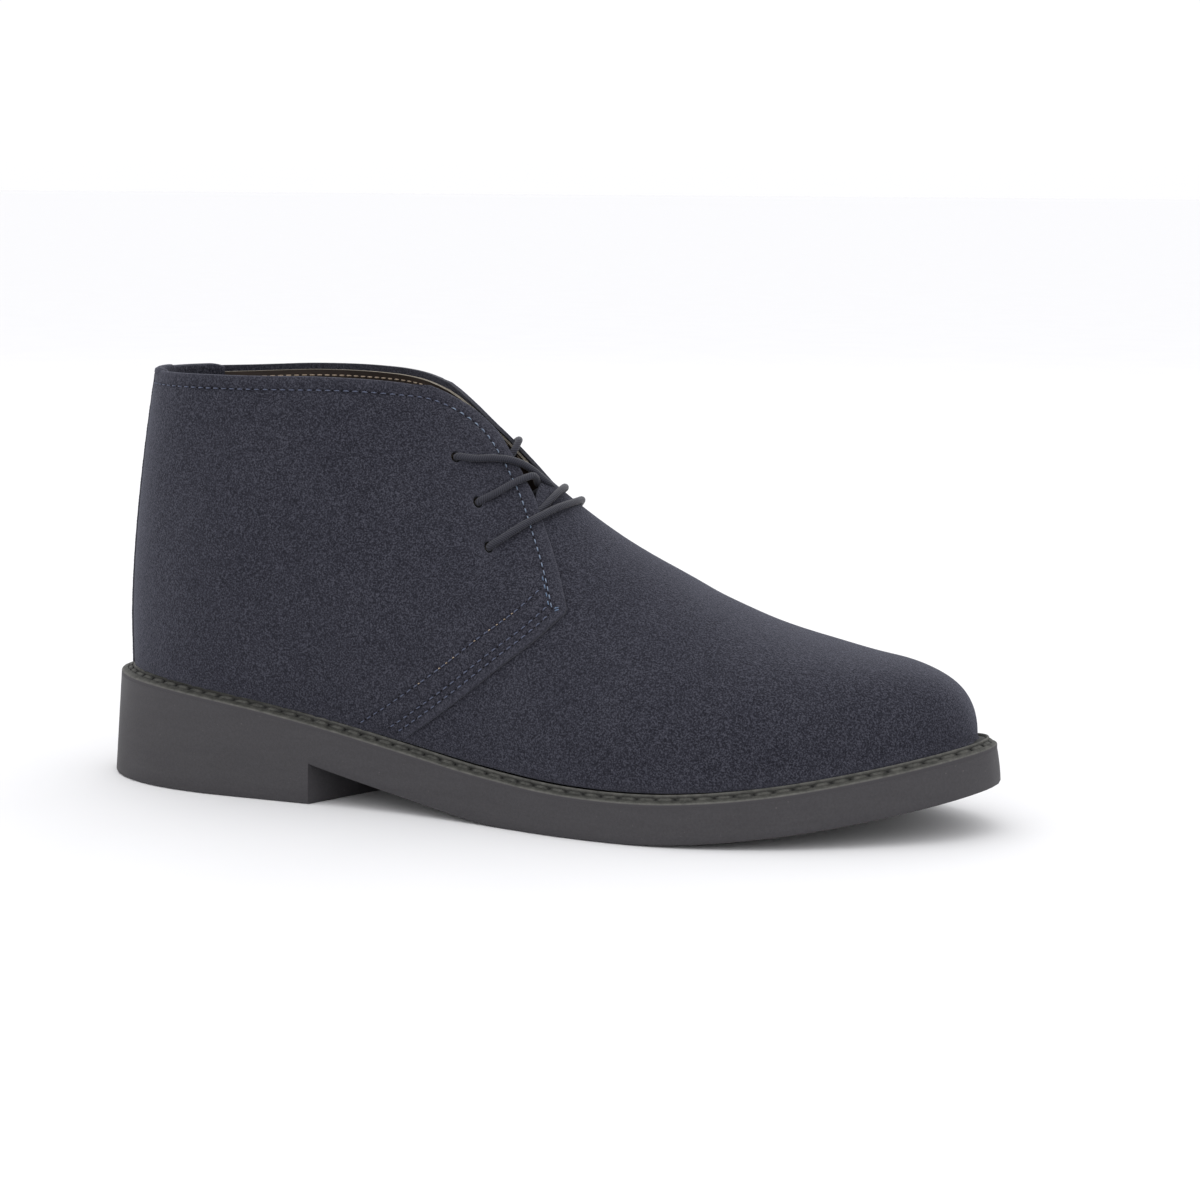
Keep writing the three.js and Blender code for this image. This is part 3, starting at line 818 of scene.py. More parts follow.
def rubber_look():
    """Moulded rubber: faint streaks along the edge, cloudy bloom and a few pale specks."""
    look = Look("moulded_rubber", 0.62)
    streak = look.noise(3.0, 4, 0.6, (0.12, 0.3, 1.0))
    cloud = look.noise(30, 3, 0.5)
    grain = look.noise(0.4, 2, 0.5)
    colour = look.ramp(streak, ((0.3, (0.0435, 0.0411, 0.0452)), (0.7, (0.0482, 0.0458, 0.0500))))
    dust = look.ramp(look.noise(0.8, 3, 0.7), ((0.38, grey(0.86)), (0.62, grey(1.0))))
    colour = look.mix(1.0, colour, dust, "MULTIPLY")
    shade = look.ramp(cloud, ((0.3, (0.93, 0.93, 0.94)), (0.7, grey(1.0))))
    colour = look.mix(1.0, colour, shade, "MULTIPLY")
    speck = look.ramp(look.noise(0.9, 1, 0.4), ((0.76, grey(0)), (0.83, grey(1))))
    colour = look.mix(look.times(speck, 0.3), colour, (0.16, 0.15, 0.145))
    relief = look.bump(streak, 0.04, 0.5)
    relief = look.bump(grain, 0.06, 0.7, relief)
    roughness = look.ramp(cloud, ((0.3, grey(0.55)), (0.7, grey(0.70))))
    look.set("Specular IOR Level", 0.35)
    return look.finish(colour, relief, roughness)


def welt_look():
    """The moulded strip: the same rubber, duller and a little greener, pale on its ridges, with
    painted shade in its grooves.

    Its outer face continues the sole's wall, so there it has the wall's colour.
    """
    look = Look("welt_rubber", 0.68)
    cloud = look.noise(2.6, 4, 0.7)
    grain = look.noise(0.7, 3, 0.6)
    colour = look.ramp(cloud, ((0.34, (0.020, 0.0205, 0.0175)), (0.66, (0.060, 0.0595, 0.053))))
    colour = look.mix(look.attribute("wall"), colour, (0.0435, 0.0411, 0.0452))
    colour = look.mix(look.fade("ridge", cloud), colour, (0.15, 0.147, 0.135))
    # Painted shade: near black in the grooves, in the gap under the upper and round the feet of the
    # moulded stitches
    colour = look.mix(look.fade("groove", 0.85), colour, grey(0.006))
    look.set("Specular IOR Level", 0.3)
    return look.finish(colour, look.bump(grain, 0.14, 0.9))


def thread_look(name, dark, light):
    """Twisted sewing thread."""
    look = Look(name, 0.6)
    twist = look.noise(0.3, 2, 0.5)
    colour = look.ramp(twist, ((0.3, dark), (0.7, light)))
    look.set("Sheen Weight", 0.2)
    return look.finish(colour, look.bump(twist, 0.08))


def lace_look():
    """Round waxed cord: fine slanting ribs of its braid."""
    look = Look("waxed_cord", 0.6)
    wave = look.node("ShaderNodeTexWave", wave_type="BANDS", bands_direction="DIAGONAL")
    wave.inputs["Scale"].default_value = 1.0
    wave.inputs["Distortion"].default_value = 0.4
    look.link(look.uv, wave.inputs["Vector"])
    fibre = look.noise(0.25, 2, 0.6)
    strands = ((0.2, (0.0112, 0.0116, 0.0172)), (0.8, (0.0305, 0.0314, 0.0455)))
    colour = look.ramp(wave.outputs["Fac"], strands)
    relief = look.bump(wave.outputs["Fac"], 0.12, 0.7)
    relief = look.bump(fibre, 0.06, 0.6, relief)
    look.set("Sheen Weight", 0.12)
    look.set("Specular IOR Level", 0.25)
    return look.finish(colour, relief)


def floor_look():
    """Matt white paper."""
    look = Look("white_paper", 0.9)
    cloud = look.noise(60, 2, 0.5)
    colour = look.ramp(cloud, ((0.3, (0.78, 0.78, 0.79)), (0.7, (0.79, 0.79, 0.80))))
    look.set("Specular IOR Level", 0.1)
    return look.finish(colour)


suede = suede_look()
raw_suede = cut_edge_look("suede_cut_edge", (0.034, 0.035, 0.043), (0.080, 0.082, 0.094))
raw_lining = cut_edge_look("lining_cut_edge", (0.22, 0.195, 0.16), (0.40, 0.365, 0.31))
lining = lining_look()
rubber = rubber_look()
welting = welt_look()
navy_thread = thread_look("navy_thread", (0.026, 0.032, 0.060), (0.080, 0.100, 0.170))
blue_thread = thread_look("blue_thread", (0.035, 0.060, 0.11), (0.11, 0.18, 0.29))
pale_thread = thread_look("pale_thread", (0.07, 0.095, 0.145), (0.20, 0.26, 0.36))
tan_thread = thread_look("tan_thread", (0.26, 0.19, 0.13), (0.46, 0.36, 0.26))
# Painted shade: near-black plugs stand in for the shadow in the needle holes
hole_shade = cut_edge_look("needle_hole_shade", (0.001, 0.001, 0.002), (0.004, 0.004, 0.006))
cord = lace_look()


# ---------------------------------------------------------------- camera, light and floor

CAMERA_PLACE = (343.22, -837.03, 196.12)
CAMERA_AZIMUTH = 20.99
CAMERA_ELEVATION = 8.31
CAMERA_ROLL = 0.34
LENS = 85.9
SENSOR = 36


def make_camera():
    """An 86 mm lens 0.9 m away, seen from the outer front quarter."""
    azimuth, elevation, roll = np.radians((CAMERA_AZIMUTH, CAMERA_ELEVATION, CAMERA_ROLL))
    back = np.array([
        math.sin(azimuth) * math.cos(elevation),
        -math.cos(azimuth) * math.cos(elevation),
        math.sin(elevation),
    ])
    level = np.array([math.cos(azimuth), math.sin(azimuth), 0])
    upright = np.cross(back, level)
    right = level * math.cos(roll) + upright * math.sin(roll)
    up = np.cross(back, right)
    data = bpy.data.cameras.new("camera")
    data.lens = LENS
    data.sensor_width = SENSOR
    place = [c * MM for c in CAMERA_PLACE]
    bpy.context.scene.camera = add_object("camera", data, (right, up, back), place)


def add_light(name, place, target, size, power):
    """A softbox at place that faces target, in metres and watts."""
    data = bpy.data.lights.new(name, "AREA")
    data.shape = "RECTANGLE"
    data.size = size[0]
    data.size_y = size[1]
    data.energy = power
    away = np.array(place) - np.array(target)
    away = away / np.linalg.norm(away)
    level = np.cross((0, 0, 1), away)
    level = level / np.linalg.norm(level)
    add_object(name, data, (level, np.cross(away, level), away), place)


SKY_LOW = 1.0
SKY_HIGH = 1.35
SKY_BLUE = 1.01
FLOOR_HALF = 40000.0
FLOOR_DROP = 0.1
# Each softbox: place and target, width and height, and power
SOFTBOXES = (
    ("softbox_top", (-0.1, -0.2, 1.5), (0, 0, 0), (1.6, 1.3), 4),
    ("softbox_front", (0.5, -1.8, 0.9), (0, 0, 0.05), (1.2, 0.9), 2),
    ("softbox_back", (-0.6, 1.5, 1.2), (0, 0, 0.05), (1.6, 0.9), 2),
)


def make_floor():
    corners = [(x, y, -FLOOR_DROP) for x, y in
               ((-FLOOR_HALF, -FLOOR_HALF), (FLOOR_HALF, -FLOOR_HALF),
                (FLOOR_HALF, FLOOR_HALF), (-FLOOR_HALF, FLOOR_HALF))]
    mesh = bpy.data.meshes.new("floor")
    mesh.from_pydata([tuple(c * MM for c in corner) for corner in corners], [], [(0, 1, 2, 3)])
    mesh.materials.append(floor_look())
    add_object("floor", mesh)


def make_light():
    """A white studio, brighter overhead, and three softboxes."""
    world = bpy.data.worlds.new("studio")
    world.use_nodes = True
    tree = world.node_tree
    place = tree.nodes.new("ShaderNodeTexCoord")
    split = tree.nodes.new("ShaderNodeSeparateXYZ")
    ramp = tree.nodes.new("ShaderNodeValToRGB")
    for element, level in zip(ramp.color_ramp.elements, (SKY_LOW, SKY_HIGH)):
        element.color = (level, level, level * SKY_BLUE, 1)
    tree.links.new(place.outputs["Generated"], split.inputs[0])
    tree.links.new(split.outputs["Z"], ramp.inputs["Fac"])
    tree.links.new(ramp.outputs["Color"], tree.nodes["Background"].inputs["Color"])
    bpy.context.scene.world = world
    bpy.context.scene.view_settings.view_transform = "Standard"
    for softbox in SOFTBOXES:
        add_light(*softbox)


make_camera()
make_floor()
make_light()


# ---------------------------------------------------------------- cut lines of the upper

THROAT = 113.0
LINE_POINTS = 60


def collar_line(side, drop=0.0):
    """The collar's edge from the middle of the back to the throat, lowered by drop."""
    u = np.arange(U_BACK, u_of(THROAT), 1.5)
    along = along_of(u)
    share = share_at_height(along, collar_height[side](along) - drop, side)
    return np.stack([u, share * SHEET], axis=1)


def facing_line(side, back=0.0):
    """The facing's edge from the throat down to the tip, moved away from the ridge by back."""
    along = np.linspace(FACING[0][0], FACING[-1][0], LINE_POINTS)
    share = share_at_half(along, facing_half(along) + back, side)
    return np.stack([u_of(along), share * SHEET], axis=1)


def front_line(side):
    """The quarter's front edge from the tip down to the sole."""
    along = np.linspace(FRONT[-1][0], FRONT[0][0], LINE_POINTS)
    share = share_at_height(along, front_height(along), side)
    share[-1] = 0
    return np.stack([u_of(along), share * SHEET], axis=1)


def softened(line, passes):
    """The line with its corners eased."""
    for _ in range(passes):
        line = line.copy()
        line[1:-1] = (line[:-2] + 2 * line[1:-1] + line[2:]) / 4
    return line


def quarter_outline(side, drop=0.0, back=0.0):
    """Counter-clockwise on the sheet: sole, front edge, facing, collar, middle of the back."""
    surface = quarter_surface(side)
    front = evenly(surface, front_line(side), 1.0)[::-1]
    facing = evenly(surface, facing_line(side, back), 1.0)[::-1]
    collar = evenly(surface, collar_line(side, drop), 1.2)[::-1]
    start = np.array([[U_BACK, 0.0]])
    sole_edge = evenly(surface, np.vstack([start, front[:1]]), 2.0)[:-1]
    back_edge = evenly(surface, np.vstack([collar[-1:], start]), 2.0)[1:-1]
    return np.vstack([sole_edge, front, facing, collar, back_edge])


def eyelet_place(eyelet, side):
    """Middle of an eyelet on the sheet."""
    along, height = eyelet
    share = share_at_height(along, height, side)[0]
    return np.array([u_of(along), share * SHEET])


def eyelet_holes(side):
    return [(eyelet_place(eyelet, side), EYELET_RADIUS) for eyelet in EYELETS]


def past(surface, line, other, distance):
    """The part of the line that is further than distance from the other line."""
    return line[nearest(tree_of(on_skin(surface, other)), on_skin(surface, line)) > distance]


FRONT_ROWS = (("front_a", 3.1), ("front_b", 5.6), ("front_c", 11.7))
EDGE_ROW = 4.4
ROW_OVERRUN = 20.0
ROW_STOP = 0.8
ROW_END = 1.2


def stitch_rows(side):
    """Stitch lines of a quarter, by name. The front rows run on down to the welt."""
    surface = quarter_surface(side)
    collar = evenly(surface, collar_line(side), 1.0)
    facing = evenly(surface, facing_line(side), 1.0)
    front = evenly(surface, front_line(side), 1.0)
    top = evenly(surface, np.vstack([collar, facing]), 1.0)
    edge = softened(evenly(surface, shifted(surface, top, -EDGE_ROW), 1.0), 40)
    rows = {"edge": edge}
    onward = unit(front[-1] - front[-12]) * np.linspace(0, ROW_OVERRUN, 21)[1:, None]
    front = np.vstack([front, front[-1] + onward])
    for name, distance in FRONT_ROWS:
        line = softened(shifted(surface, front, -distance), 12)
        line = line[line[:, 1] > ROW_END]
        rows[name] = past(surface, line, facing, EDGE_ROW + ROW_STOP)
    return rows


# ---------------------------------------------------------------- upper

def soft_folds(folds):
    """Troughs given one by one: (u, v, direction in degrees, half length, half width, depth)."""
    def bend(flat):
        total = np.zeros(len(flat))
        for u, v, angle, length, width, depth in folds:
            turn = math.radians(angle)
            along = (flat[:, 0] - u) * math.cos(turn) + (flat[:, 1] - v) * math.sin(turn)
            across = (flat[:, 1] - v) * math.cos(turn) - (flat[:, 0] - u) * math.sin(turn)
            total -= depth * np.exp(-(along / length) ** 2 - (across / width) ** 2)
        return total
    return bend


QUARTER_FOLDS = {
    OUTER: ((40, 62, 70, 26, 9, 0.7), (72, 40, 55, 22, 8, 0.5), (2, 97, 4, 22, 2.6, 0.35),
            (104, 84, -35, 12, 6, 0.4)),
    INNER: ((38, 60, 75, 24, 9, 0.7), (78, 44, 50, 22, 8, 0.6), (100, 30, 20, 16, 7, 0.5)),
}
VAMP_FOLDS = ((206, 12, 78, 22, 7, 0.35), (222, -18, 100, 20, 6, 0.3), (192, -40, 60, 18, 7, 0.35),
              (196, 44, 118, 18, 7, 0.4))


def make_quarter(side, name):
    """One side of the upper, with its eyelets and the dents of its stitch rows."""
    surface = quarter_surface(side)
    rows = stitch_rows(side)
    piece = panel(
        name, surface, quarter_outline(side), [suede, raw_suede], QUARTER_TOP, SUEDE_THICK,
        holes=eyelet_holes(side), rows=list(rows.values()), shape=soft_folds(QUARTER_FOLDS[side]))


def vamp_outline():
    """Front of the boot and the tongue in one: sole, toe, sole, then up under the quarters."""
    under = {}
    tongue = {}
    along = np.linspace(TONGUE_START, TONGUE_TOP, 3)
    for side in (OUTER, INNER):
        front = evenly(quarter_surface(side), front_line(side), 2.0)
        line = shifted(quarter_surface(side), front, -VAMP_UNDER)
        line = line[(line[:, 1] > 0) & (line[:, 0] < UNDER_END)]
        share = line[:, 1] / SHEET
        under[side] = np.stack([line[:, 0], side * (1 - share) * SHEET], axis=1)
        share = share_at_half(along, TONGUE_HALF, side)
        tongue[side] = np.stack([along, side * (1 - share) * SHEET], axis=1)
    across = np.linspace(tongue[OUTER][-1, 1], tongue[INNER][-1, 1], 9)[1:-1]
    bow = TONGUE_BOW * (1 - (across / across[0]) ** 2)
    top = np.stack([TONGUE_TOP - bow, across], axis=1)
    loop = np.vstack([
        [[under[OUTER][-1, 0], -SHEET], [U_FRONT, -SHEET]],
        [[U_FRONT, SHEET], [under[INNER][-1, 0], SHEET]],
        under[INNER][::-1],
        tongue[INNER],
        top[::-1],
        tongue[OUTER][::-1],
        under[OUTER],
    ])
    return evenly(vamp_surface(), loop, 1.6, closed=True)


def vamp_height(flat):
    """The vamp's height off the last: it spreads a little where it is drawn down to the welt."""
    from_sole = SHEET - np.abs(flat[:, 1])
    return VAMP_TOP + FEATHER * (1 - smooth_step(0, FEATHER_WIDTH, from_sole))


def make_vamp():
    """The front of the boot with its tongue."""
    piece = panel(
        "vamp", vamp_surface(), vamp_outline(), [suede, raw_suede], vamp_height, SUEDE_THICK,
        step=2.0, shape=soft_folds(VAMP_FOLDS))
    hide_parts("upper", "tongue")


def lining_height(flat):
    """The lining's height off the last: in front of the ankle it lies under the vamp."""
    below = 1 - smooth_step(0.72, 0.88, flat[:, 1] / SHEET)
    forward = smooth_step(92, 122, along_of(flat[:, 0]))
    return LINING_TOP - LINING_SUNK * (forward * below)


LINING_DROP = 2.0
LINING_BACK = 1.4
LINING_ROW = 1.9


def make_lining(side, name):
    """Half of the lining, a little below the quarter's edges; gives the line of its seam."""
    surface = quarter_surface(side)
    piece = panel(
        name, surface, quarter_outline(side, LINING_DROP, LINING_BACK), [lining, raw_lining],
        lining_height, LINING_THICK, holes=eyelet_holes(side), step=2.4, edge_round=0.15)
    top = np.vstack([collar_line(side, LINING_DROP), facing_line(side, LINING_BACK)])
    return softened(shifted(surface, evenly(surface, top, 1.0), -LINING_ROW), 20)


STRIP_HALF = 15.0
STRIP_TAPER = 1.0
STRIP_HEIGHT = 134.6
STRIP_ROW = 2.2


def make_back_strip():
    """Narrow strip down the middle of the back, over the join of the quarters."""
    surface = heel_surface()
    high = share_at_height(UPPER_START, STRIP_HEIGHT, OUTER)[0] * SHEET
    rise = np.linspace(0, 1, 40)
    half = STRIP_HALF - STRIP_TAPER * rise
    right = np.stack([half, rise * high], axis=1)
    left = np.stack([-half, rise * high], axis=1)[::-1]
    border = np.vstack([[[0.0, 0.0]], right, [[0.0, high]], left])
    rows = []
    for side in (OUTER, INNER):
        line = np.stack([side * (half - STRIP_ROW), rise * high], axis=1)
        rows.append(evenly(surface, line[1:-1], 1.0))
    piece = panel(
        "back_strip", surface, evenly(surface, border, 1.2, closed=True), [suede, raw_suede],
        STRIP_TOP, STRIP_THICK, rows=rows, step=1.6)


# The tab's section, as heights off the last and levels over the collar's edge, and its ends
TAB_REACH = 38.0
TAB_CORNER = 9.0
TAB_PROFILE = ((1.5, -0.8), (1.45, 0.2), (0.5, 0.8), (-0.9, 0.8), (-1.8, 0.3), (-2.1, -0.8))
TAB_INSIDE = -2.2
TAB_DEPTHS = (-3, -6, -10, -14, -18, -21.5, -23.0)
TAB_THICK = 0.7
TAB_SPREAD = 0.6
TAB_POINTS = 95


def make_heel_tab():
    """Suede that folds over the back of the collar and lies inside the heel."""
    outside = [*TAB_PROFILE, *((TAB_INSIDE, z) for z in TAB_DEPTHS)]
    inside_face = [
        (h + (TAB_THICK if h < 0 else -TAB_THICK), z - TAB_SPREAD) for h, z in outside[::-1]]
    across = np.linspace(-TAB_REACH, TAB_REACH, TAB_POINTS)
    along = along_of(U_BACK + np.abs(across))
    top = by_side(across, collar_height[OUTER](along), collar_height[INNER](along))
    corner = np.clip((np.abs(across) - TAB_REACH + TAB_CORNER) / TAB_CORNER, 0, 1)
    rounding = np.sqrt(1 - 0.97 * corner ** 2)
    layers = []
    for h, z in [*outside, *inside_face]:
        height = top + z * rounding - 0.5 * corner ** 2
        share = by_side(
            across, share_at_height(along, height, OUTER), share_at_height(along, height, INNER))
        uv = np.stack([across, share * SHEET], axis=1)
        points = lifted(heel_surface(), uv, h - 0.7 * corner ** 2 * (h > 0))
        points[:, 2] = height
        layers.append(points)
    rows = len(layers)
    columns = len(across)
    faces = grid_faces(rows, columns, wrap_rows=True)
    for k, turn in ((0, 1), (columns - 1, -1)):
        for i in range(rows // 2 - 1):
            j = rows - 1 - i
            face = (i * columns + k, (i + 1) * columns + k, (j - 1) * columns + k, j * columns + k)
            faces.append(face[::turn])
    piece = make_object("heel_tab", np.vstack(layers), faces, [suede], 60)
    # Painted sheen along the tab's two ends
    edge = np.zeros((rows, columns))
    edge[:, :2] = 1
    edge[:, -2:] = 1
    point_attribute(piece, "edge", edge.ravel())
    point_attribute(piece, "seam", np.zeros(rows * columns))


# ---------------------------------------------------------------- stitches

# Shares of the top row that the back strip covers, and that the dark thread sews
STRIP_SHARE = 0.08
COLLAR_SHARE = 0.58
STITCH_POINTS = 7
STITCH_ARCH = 0.52
STITCH_SUNK = 0.42
HOLE_LIFTS = (-0.5, -0.2, -0.1)
FORWARD = np.array([1.0, 0.0, 0.0])


def stitches(surface, row, height, pitch=STITCH_PITCH, radius=STITCH_RADIUS, start=0.0,
             gap=STITCH_GAP, outward=1, chosen=None):
    """Parts of a sewn row: an arched thread from each needle hole to the next."""
    run = run_of(on_skin(surface, row))
    share = np.linspace(0, 1, STITCH_POINTS)
    arch = np.sin(share * math.pi) ** 0.6
    lift = height + outward * (STITCH_ARCH * arch - STITCH_SUNK)
    radii = radius * (0.55 + 0.45 * arch)
    parts = []
    for k in range(int((run[-1] - start) / pitch)):
        if chosen is not None and k not in chosen:
            continue
        first = start + k * pitch + gap / 2
        uv = at_run(np.linspace(first, first + pitch - gap, STITCH_POINTS), run, row)
        parts.append(tube(lifted(surface, uv, lift), radii, normals(surface, uv[:1])[0], 6))
    return parts


def needle_hole_shadows(surface, row, height):
    """Painted shade in the needle holes between the stitches of a row: small near-black plugs."""
    run = run_of(on_skin(surface, row))
    radii = (HOLE_RADIUS, HOLE_RADIUS, HOLE_RADIUS * 0.7)
    parts = []
    for at in np.arange(0.0, run[-1], STITCH_PITCH):
        uv = at_run([at], run, row)
        depths = [lifted(surface, uv, height + lift)[0] for lift in HOLE_LIFTS]
        parts.append(tube(depths, radii, FORWARD, 6))
    return parts


def part_of(row, start, end):
    """The stretch of a line between two shares of its points."""
    count = len(row)
    return row[int(count * start):int(math.ceil(count * end))]


TAN_FLECKS = (3, 4, 5, 6, 8, 11, 12, 13, 16)
FLECK_LENGTH = 0.6
FLECK_RADIUS = 0.15
FLECK_LIFT = 0.08
# The bar tack: the facing row is sewn twice from this share on, and two short rows cross to the tip
TACK_SHARE = 0.925
TACK_OFFSET = -0.75
TACK_ROWS = (0.0, 0.8)
TACK_PITCH = 2.2
TACK_GAP = 0.6


def make_stitches(side, name):
    """Sewn rows of a quarter: dark ones, the brighter facing row and its bar tack at the tip."""
    surface = quarter_surface(side)
    rows = stitch_rows(side)
    edge = rows["edge"]
    around = part_of(edge, STRIP_SHARE, 1.0)
    count = int(run_of(on_skin(surface, around))[-1] / STITCH_PITCH)
    turn = int(count * COLLAR_SHARE)
    dark = stitches(surface, around, QUARTER_TOP, chosen=range(turn))
    bright = stitches(surface, around, QUARTER_TOP, chosen=range(turn, count))
    # holes: painted shade in the needle holes
    holes = needle_hole_shadows(surface, around, QUARTER_TOP)
    doubled = shifted(surface, part_of(edge, TACK_SHARE, 1.0), TACK_OFFSET)
    tack = stitches(surface, doubled, QUARTER_TOP, start=STITCH_PITCH / 2)
    for key, _ in FRONT_ROWS:
        dark += stitches(surface, rows[key], QUARTER_TOP)
        holes += needle_hole_shadows(surface, rows[key], QUARTER_TOP)
    flecks = stitches(
        surface, rows["front_c"], QUARTER_TOP + FLECK_LIFT, start=STITCH_PITCH / 2,
        gap=STITCH_PITCH - FLECK_LENGTH, radius=FLECK_RADIUS, chosen=TAN_FLECKS)
    tip = evenly(surface, facing_line(side), 1.0)[-1]
    across = evenly(surface, np.linspace(edge[-1], tip, 8), 0.4)
    for distance in TACK_ROWS:
        line = shifted(surface, across, distance)
        tack += stitches(
            surface, line, QUARTER_TOP, pitch=TACK_PITCH, start=TACK_GAP / 2, gap=TACK_GAP)
    sets = (
        ("_rows", dark, navy_thread), ("_facing", bright, pale_thread),
        ("_tack", tack, blue_thread), ("_flecks", flecks, tan_thread), ("_hole_shadows", holes, hole_shade),
    )
    for suffix, parts, material in sets:
        make_object(name + suffix, *joined(parts), [material], 60)


COLLAR_SEAM_PART = (0.12, 0.72)
COLLAR_SEAM_RADIUS = 0.26
COLLAR_SEAM_GAP = 0.6


def make_collar_seam(rows):
    """Tan thread inside the collar, on the lining."""
    parts = []
    for side, row in rows.items():
        parts += stitches(
            quarter_surface(side), part_of(row, *COLLAR_SEAM_PART), LINING_TOP - LINING_THICK,
            radius=COLLAR_SEAM_RADIUS, gap=COLLAR_SEAM_GAP, outward=-1)
    make_object("collar_seam", *joined(parts), [tan_thread], 60)


# ---------------------------------------------------------------- laces

def over(along, across, lift):
    """A point off the skin, at a place along the boot and across it from the middle line."""
    side = OUTER if across < float(upper["ridge"](along)) else INNER
    half = abs(across - float(upper["ridge"](along)))
    share = min(share_at_half(along, half, side)[0], 0.999)
    surface = quarter_surface(side)
    return lifted(surface, np.array([[u_of(along), share * SHEET]]), lift)[0]


def through(index, side, lifts):
    """Points through an eyelet, a little nearer the facing's edge than its middle."""
    surface = quarter_surface(side)
    centre = eyelet_place(EYELETS[index], side) + LACE_OFF_CENTRE
    return [lifted(surface, centre[None], lift)[0] for lift in lifts]


UPWARD = np.array([0.0, 0.0, 1.0])
LACE_OFF_CENTRE = np.array([0.45, 0.3])
INWARD = (1.0, -0.9, -2.8)
OUTWARD = INWARD[::-1]
RISING = (-0.9, -2.6)
# Places along the boot and across it, and the lift of the cord's middle off the last
BOTTOM_BAR = (
    (147.6, -22.6, 2.2), (149.6, -21.1, 2.25), (153.4, -17.7, 2.25), (156.8, -14.0, 2.2),
    (159.7, -9.0, 1.7), (161.8, -3.6, 1.3), (162.6, 2.4, 1.1), (161.4, 8.6, 1.3),
    (158.2, 14.6, 2.1), (153.2, 19.6, 2.25), (148.4, 23.3, 2.25),
)
MIDDLE_FROM_OUTER = (
    (149.5, -19.5, -2.6), (153.0, -15.4, -1.9), (156.3, -11.2, 0.2), (157.6, -6.2, 1.2),
    (157.9, -0.6, 1.5), (157.1, 4.8, 1.1), (155.2, 10.0, 1.2), (151.8, 14.4, 2.1),
    (147.0, 17.2, 2.25), (142.0, 19.2, 2.2),
)
MIDDLE_FROM_INNER = (
    (149.6, 19.0, -2.6), (153.6, 12.0, -2.4), (154.0, 6.0, -2.6), (153.4, 1.4, -2.6),
    (152.2, -1.8, -1.6), (151.3, -3.6, 0.7), (150.2, -5.3, 2.2), (148.5, -8.2, 2.4),
    (146.2, -11.5, 2.25), (142.3, -15.9, 2.25),
)
TOP_FROM_OUTER = (
    (141.0, -13.5, -3.0), (142.4, -7.0, -2.9), (142.9, -3.4, -1.2), (142.7, -1.2, 1.0),
    (142.0, 1.4, 2.1), (140.6, 4.8, 2.1), (138.2, 8.4, 2.25), (134.8, 11.6, 2.25),
    (131.6, 13.8, 2.2),
)
TOP_FROM_INNER = (
    (143.0, 17.0, -2.6), (150.6, 11.0, -2.4), (154.6, 5.0, -2.0), (155.0, 1.2, -0.6),
    (152.0, -1.6, 0.8), (147.6, -3.9, 2.0), (143.5, -6.4, 2.3), (139.0, -9.3, 2.25),
    (133.9, -12.2, 2.2),
)
CROSSINGS = (
    (2, OUTER, 1, INNER, MIDDLE_FROM_OUTER),
    (2, INNER, 1, OUTER, MIDDLE_FROM_INNER),
    (1, OUTER, 0, INNER, TOP_FROM_OUTER),
    (1, INNER, 0, OUTER, TOP_FROM_INNER),
)


def rounded_path(points, steps=7):
    """A smooth line through points."""
    points = np.asarray(points, float)
    gaps = np.sqrt(np.linalg.norm(np.diff(points, axis=0), axis=1))
    gaps = np.concatenate([[0], np.cumsum(gaps)])
    at = np.linspace(0, gaps[-1], steps * (len(points) - 1) + 1)
    return np.stack([smooth_curve(gaps, points[:, k])(at) for k in range(3)], axis=1)


LACE_SIDES = 14
RIB_PITCH = 1.1


def make_lace():
    """One lace: a bar outside the lowest eyelets, then two crossings out of the throat."""
    strands = [(through(2, OUTER, OUTWARD), BOTTOM_BAR, through(2, INNER, INWARD))]
    for start, start_side, end, end_side, stops in CROSSINGS:
        strands.append((
            through(start, start_side, RISING), stops, through(end, end_side, INWARD)))
    around = np.abs(np.arange(LACE_SIDES) / LACE_SIDES * 2 - 1) * 1.5
    parts = []
    uvs = []
    for first, stops, last in strands:
        path = rounded_path([*first, *(over(*stop) for stop in stops), *last])
        run = np.repeat(run_of(path) / RIB_PITCH, LACE_SIDES)
        uvs.append(np.stack([np.tile(around, len(path)), run], axis=1))
        parts.append(tube(path, np.full(len(path), LACE_RADIUS), UPWARD, LACE_SIDES))
    piece = make_object("lace", *joined(parts), [cord], 60, uvs=np.vstack(uvs))
    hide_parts("lace_bar_bottom", "lace_cross_middle", "lace_cross_top")


# ---------------------------------------------------------------- sole

def sole_bottom(along):
    """Height of the sole's underside: arch, flat tread and toe spring."""
    arch = np.clip((FLAT_START - along) / (FLAT_START - BREAST_ALONG), 0, 1)
    spring = np.clip((along - FLAT_END) / (SOLE_LENGTH - FLAT_END), 0, 1)
    return ARCH_HEIGHT * arch ** ARCH_POWER + TOE_SPRING * spring ** SPRING_POWER


def sole_point(along, side, height, inset):
    """A point at a height and inset from the sole's edge, at a place on the full outline."""
    place = inset + along / SOLE_LENGTH * (SOLE_LENGTH - 2 * inset)
    flare = HEEL_FLARE * np.clip(1 - along / FLARE_LENGTH, 0, 1) * height / sole["top"](0)
    half = by_side(side, sole["outer"](place), sole["inner"](place)) - inset - flare
    rounding = end_round(place, inset, SOLE_LENGTH - inset, HEEL_ROUND, TOE_ROUND)
    y = sole["middle"](place) + side * half * rounding
    x = place + flare * np.clip(1 - along / HEEL_ROUND, 0, 1) - MIDDLE_X
    return np.stack(np.broadcast_arrays(x, y - MIDDLE_Y, height), axis=-1)


